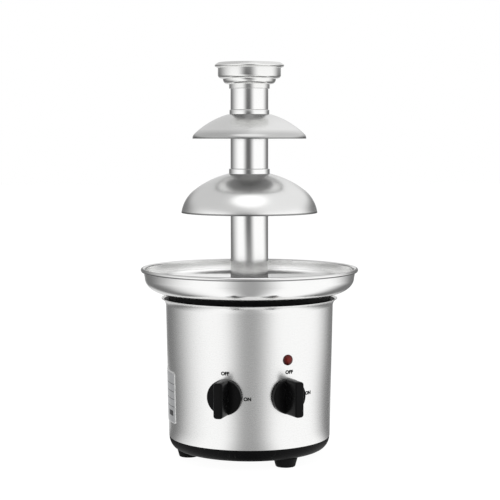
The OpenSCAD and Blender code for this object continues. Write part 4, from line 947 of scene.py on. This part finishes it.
# Bearings and rises are in degrees, and levels are brightnesses. A box fades in between its first two
# bearings and out between its last two. A fade is where something starts and where it is full.
tent = {
    "radius": 0.7, "middle": 0.2, "floorGap": 0.4 * mm, "hub": 0.06, "bright": 1.18, "dark": 0.15,
    "darkLow": 0.4, "lowDrop": 0.08, "lowTurn": 7.0, "stretch": 0.28,
    "leftBox": (-142.0, -60.0, -44.0, -10.0), "rightBox": (-2.0, 34.0, 84.0, 136.0),
    "frontFade": (-0.2, 0.4), "backFade": (154.0, 174.0), "backLevels": (0.2, 0.8),
    "ceilingFade": (13.0, 30.0), "ceilingSides": (-0.4, 0.6), "ceilingLevels": (0.66, 0.92),
    "topAzimuth": 0.0, "topRise": 62.0, "topFade": (17.0, 27.0), "topLevel": 1.35,
    "again": 0.24, "againFade": (4.0, 22.0), "even": 1.15, "evenShares": (0.9, 0.4),
}
# Azimuths are from the camera's own, sizes are width and height
lamps = {
    "leftBox": {"azimuth": -58, "rise": 12, "distance": 1.6, "size": (0.9, 1.4), "power": 3.2},
    "rightBox": {"azimuth": 66, "rise": 12, "distance": 1.6, "size": (1.2, 1.4), "power": 4.0},
    "topBox": {"azimuth": 0, "rise": 70, "distance": 1.7, "size": (1.4, 1.0), "power": 3.0},
}


def towards(azimuth, rise):
    turned, raised = math.radians(azimuth), math.radians(rise)
    flat = math.cos(raised)
    return Vector((math.sin(turned) * flat, -math.cos(turned) * flat, math.sin(raised)))


def seenRays(work):
    paths = work.add("ShaderNodeLightPath").outputs
    return work.maths("MAXIMUM", paths["Is Camera Ray"],
                      work.maths("MAXIMUM", paths["Is Glossy Ray"], paths["Is Transmission Ray"]))


def bareMaterial(name):
    material = bpy.data.materials.new(name)
    material.use_nodes = True
    material.node_tree.nodes.clear()
    return material, Nodes(material.node_tree)


def makeFloor():
    material, work = bareMaterial("paleFloor")
    flat = work.add("ShaderNodeBsdfDiffuse", {"Color": studio["floor"]})
    glow = work.add("ShaderNodeEmission", {"Color": studio["white"], "Strength": studio["floorGlow"]})
    share = work.maths("MULTIPLY", seenRays(work), studio["floorShare"])
    both = work.add("ShaderNodeMixShader", {0: share, 1: flat.outputs[0], 2: glow.outputs[0]})
    work.add("ShaderNodeOutputMaterial", {0: both.outputs[0]})
    bm = bmesh.new()
    bmesh.ops.create_grid(bm, x_segments=1, y_segments=1, size=studio["floorSize"])
    finishMesh("floor", bm, material)


def makeWorld():
    world = bpy.data.worlds.new("softRoom")
    bpy.context.scene.world = world
    world.use_nodes = True
    world.node_tree.nodes.clear()
    work = Nodes(world.node_tree)
    room = work.add("ShaderNodeBackground", {"Color": studio["white"], "Strength": studio["ambient"]})
    white = work.add("ShaderNodeBackground", {"Color": studio["white"], "Strength": 1.0})
    both = work.add("ShaderNodeMixShader", {0: seenRays(work), 1: room.outputs[0], 2: white.outputs[0]})
    work.add("ShaderNodeOutputWorld", {0: both.outputs[0]})


def tentLevel(work):
    # how bright the tent is at each of its points
    parts = work.parts(work.add("ShaderNodeTexCoord").outputs["Object"])
    x, y, z = parts[0], parts[1], work.maths("SUBTRACT", parts[2], tent["middle"])
    forward, out = work.maths("MULTIPLY", y, -1.0), work.length(x, y)
    rise = work.maths("DEGREES", work.maths("ARCTAN2", z, out))
    low = work.soft(z, 0.0, -tent["lowDrop"])
    bearing = work.maths("DEGREES", work.maths("ARCTAN2", x, forward))
    inwards = work.maths("SUBTRACT", 1.0, work.maths("DIVIDE", out, tent["radius"]))
    bearing = work.maths("MULTIPLY", bearing, work.maths("MULTIPLY_ADD", inwards, tent["stretch"], 1.0))
    bearing = work.maths("SUBTRACT", bearing, work.maths("MULTIPLY", low, tent["lowTurn"]))
    boxes = 0.0
    for start, full, fall, end in (tent["leftBox"], tent["rightBox"]):
        box = work.maths("MULTIPLY", work.soft(bearing, start, full), work.soft(bearing, fall, end, 1.0, 0.0))
        boxes = work.maths("MAXIMUM", boxes, box)
    radius = work.maths("MAXIMUM", out, least)
    front = work.soft(work.maths("DIVIDE", forward, radius), *tent["frontFade"])
    behind = work.soft(work.maths("ABSOLUTE", bearing), *tent["backFade"], *tent["backLevels"])
    dark = work.between(behind, tent["dark"], front)
    lowFront = work.maths("MULTIPLY", low, front)
    dark = work.maths("MULTIPLY_ADD", lowFront, tent["darkLow"] - tent["dark"], dark)
    wall = work.between(dark, tent["bright"], boxes)
    ceiling = work.soft(work.maths("DIVIDE", x, radius), *tent["ceilingSides"], *tent["ceilingLevels"])
    level = work.between(wall, ceiling, work.soft(rise, *tent["ceilingFade"]))
    where = work.add("ShaderNodeCombineXYZ", {0: x, 1: y, 2: z}).outputs[0]
    where = work.add("ShaderNodeVectorMath", {0: where}, operation="NORMALIZE").outputs[0]
    near = work.add("ShaderNodeVectorMath", {0: where, 1: towards(tent["topAzimuth"], tent["topRise"])},
                    operation="DOT_PRODUCT").outputs["Value"]
    away = work.maths("DEGREES", work.maths("ARCCOSINE", near))
    level = work.between(level, tent["topLevel"], work.soft(away, *tent["topFade"], 1.0, 0.0))
    # seen in a second mirror, such as the tube in the dome, the panels are dim above and even below
    depth = work.add("ShaderNodeLightPath").outputs["Glossy Depth"]
    again = work.maths("GREATER_THAN", depth, 1.5)
    dim = work.maths("MULTIPLY", level, tent["again"])
    even = work.between(level, tent["even"], work.remap(depth, 2.0, 3.0, *tent["evenShares"]))
    high = work.maths("MULTIPLY", work.soft(rise, *tent["againFade"]), work.maths("LESS_THAN", depth, 2.5))
    return work.between(level, work.between(even, dim, high), again)


def makeTent():
    # a disc just above the floor with a dome over it
    material, work = bareMaterial("softPanels")
    glow = work.add("ShaderNodeEmission", {"Color": studio["white"], "Strength": tentLevel(work)}).outputs[0]
    work.add("ShaderNodeOutputMaterial", {0: glow})
    radius, low, middle = tent["radius"], tent["floorGap"], tent["middle"]
    outline = [(0, low), (tent["hub"], low), (radius, low)] + arcPoints((0, middle), radius, 0, 90, 40)
    outline[-1] = (0, middle + radius)
    cover = lathe("reflectionTent", outline, material, steps=128, sharp=60, closed=False)
    cover.rotation_euler = (0, 0, math.radians(camera["azimuth"]))
    cover.visible_camera = False
    cover.visible_diffuse = False
    cover.visible_shadow = False
    cover.visible_transmission = False


def makeLamp(name, values):
    data = bpy.data.lights.new(name, "AREA")
    data.shape = "RECTANGLE"
    data.size, data.size_y = values["size"]
    data.energy = values["power"]
    lamp = bpy.data.objects.new(name, data)
    bpy.context.collection.objects.link(lamp)
    away = towards(camera["azimuth"] + values["azimuth"], values["rise"])
    lamp.location = Vector((0, 0, studio["lampAim"])) + away * values["distance"]
    lamp.rotation_mode = "QUATERNION"
    lamp.rotation_quaternion = away.to_track_quat("Z", "Y")
    lamp.visible_camera = False
    lamp.visible_glossy = False


makeFloor()
makeWorld()
makeTent()
for name, values in lamps.items():
    makeLamp(name, values)
bpy.context.scene.view_settings.view_transform = "Standard"
print("studio made")
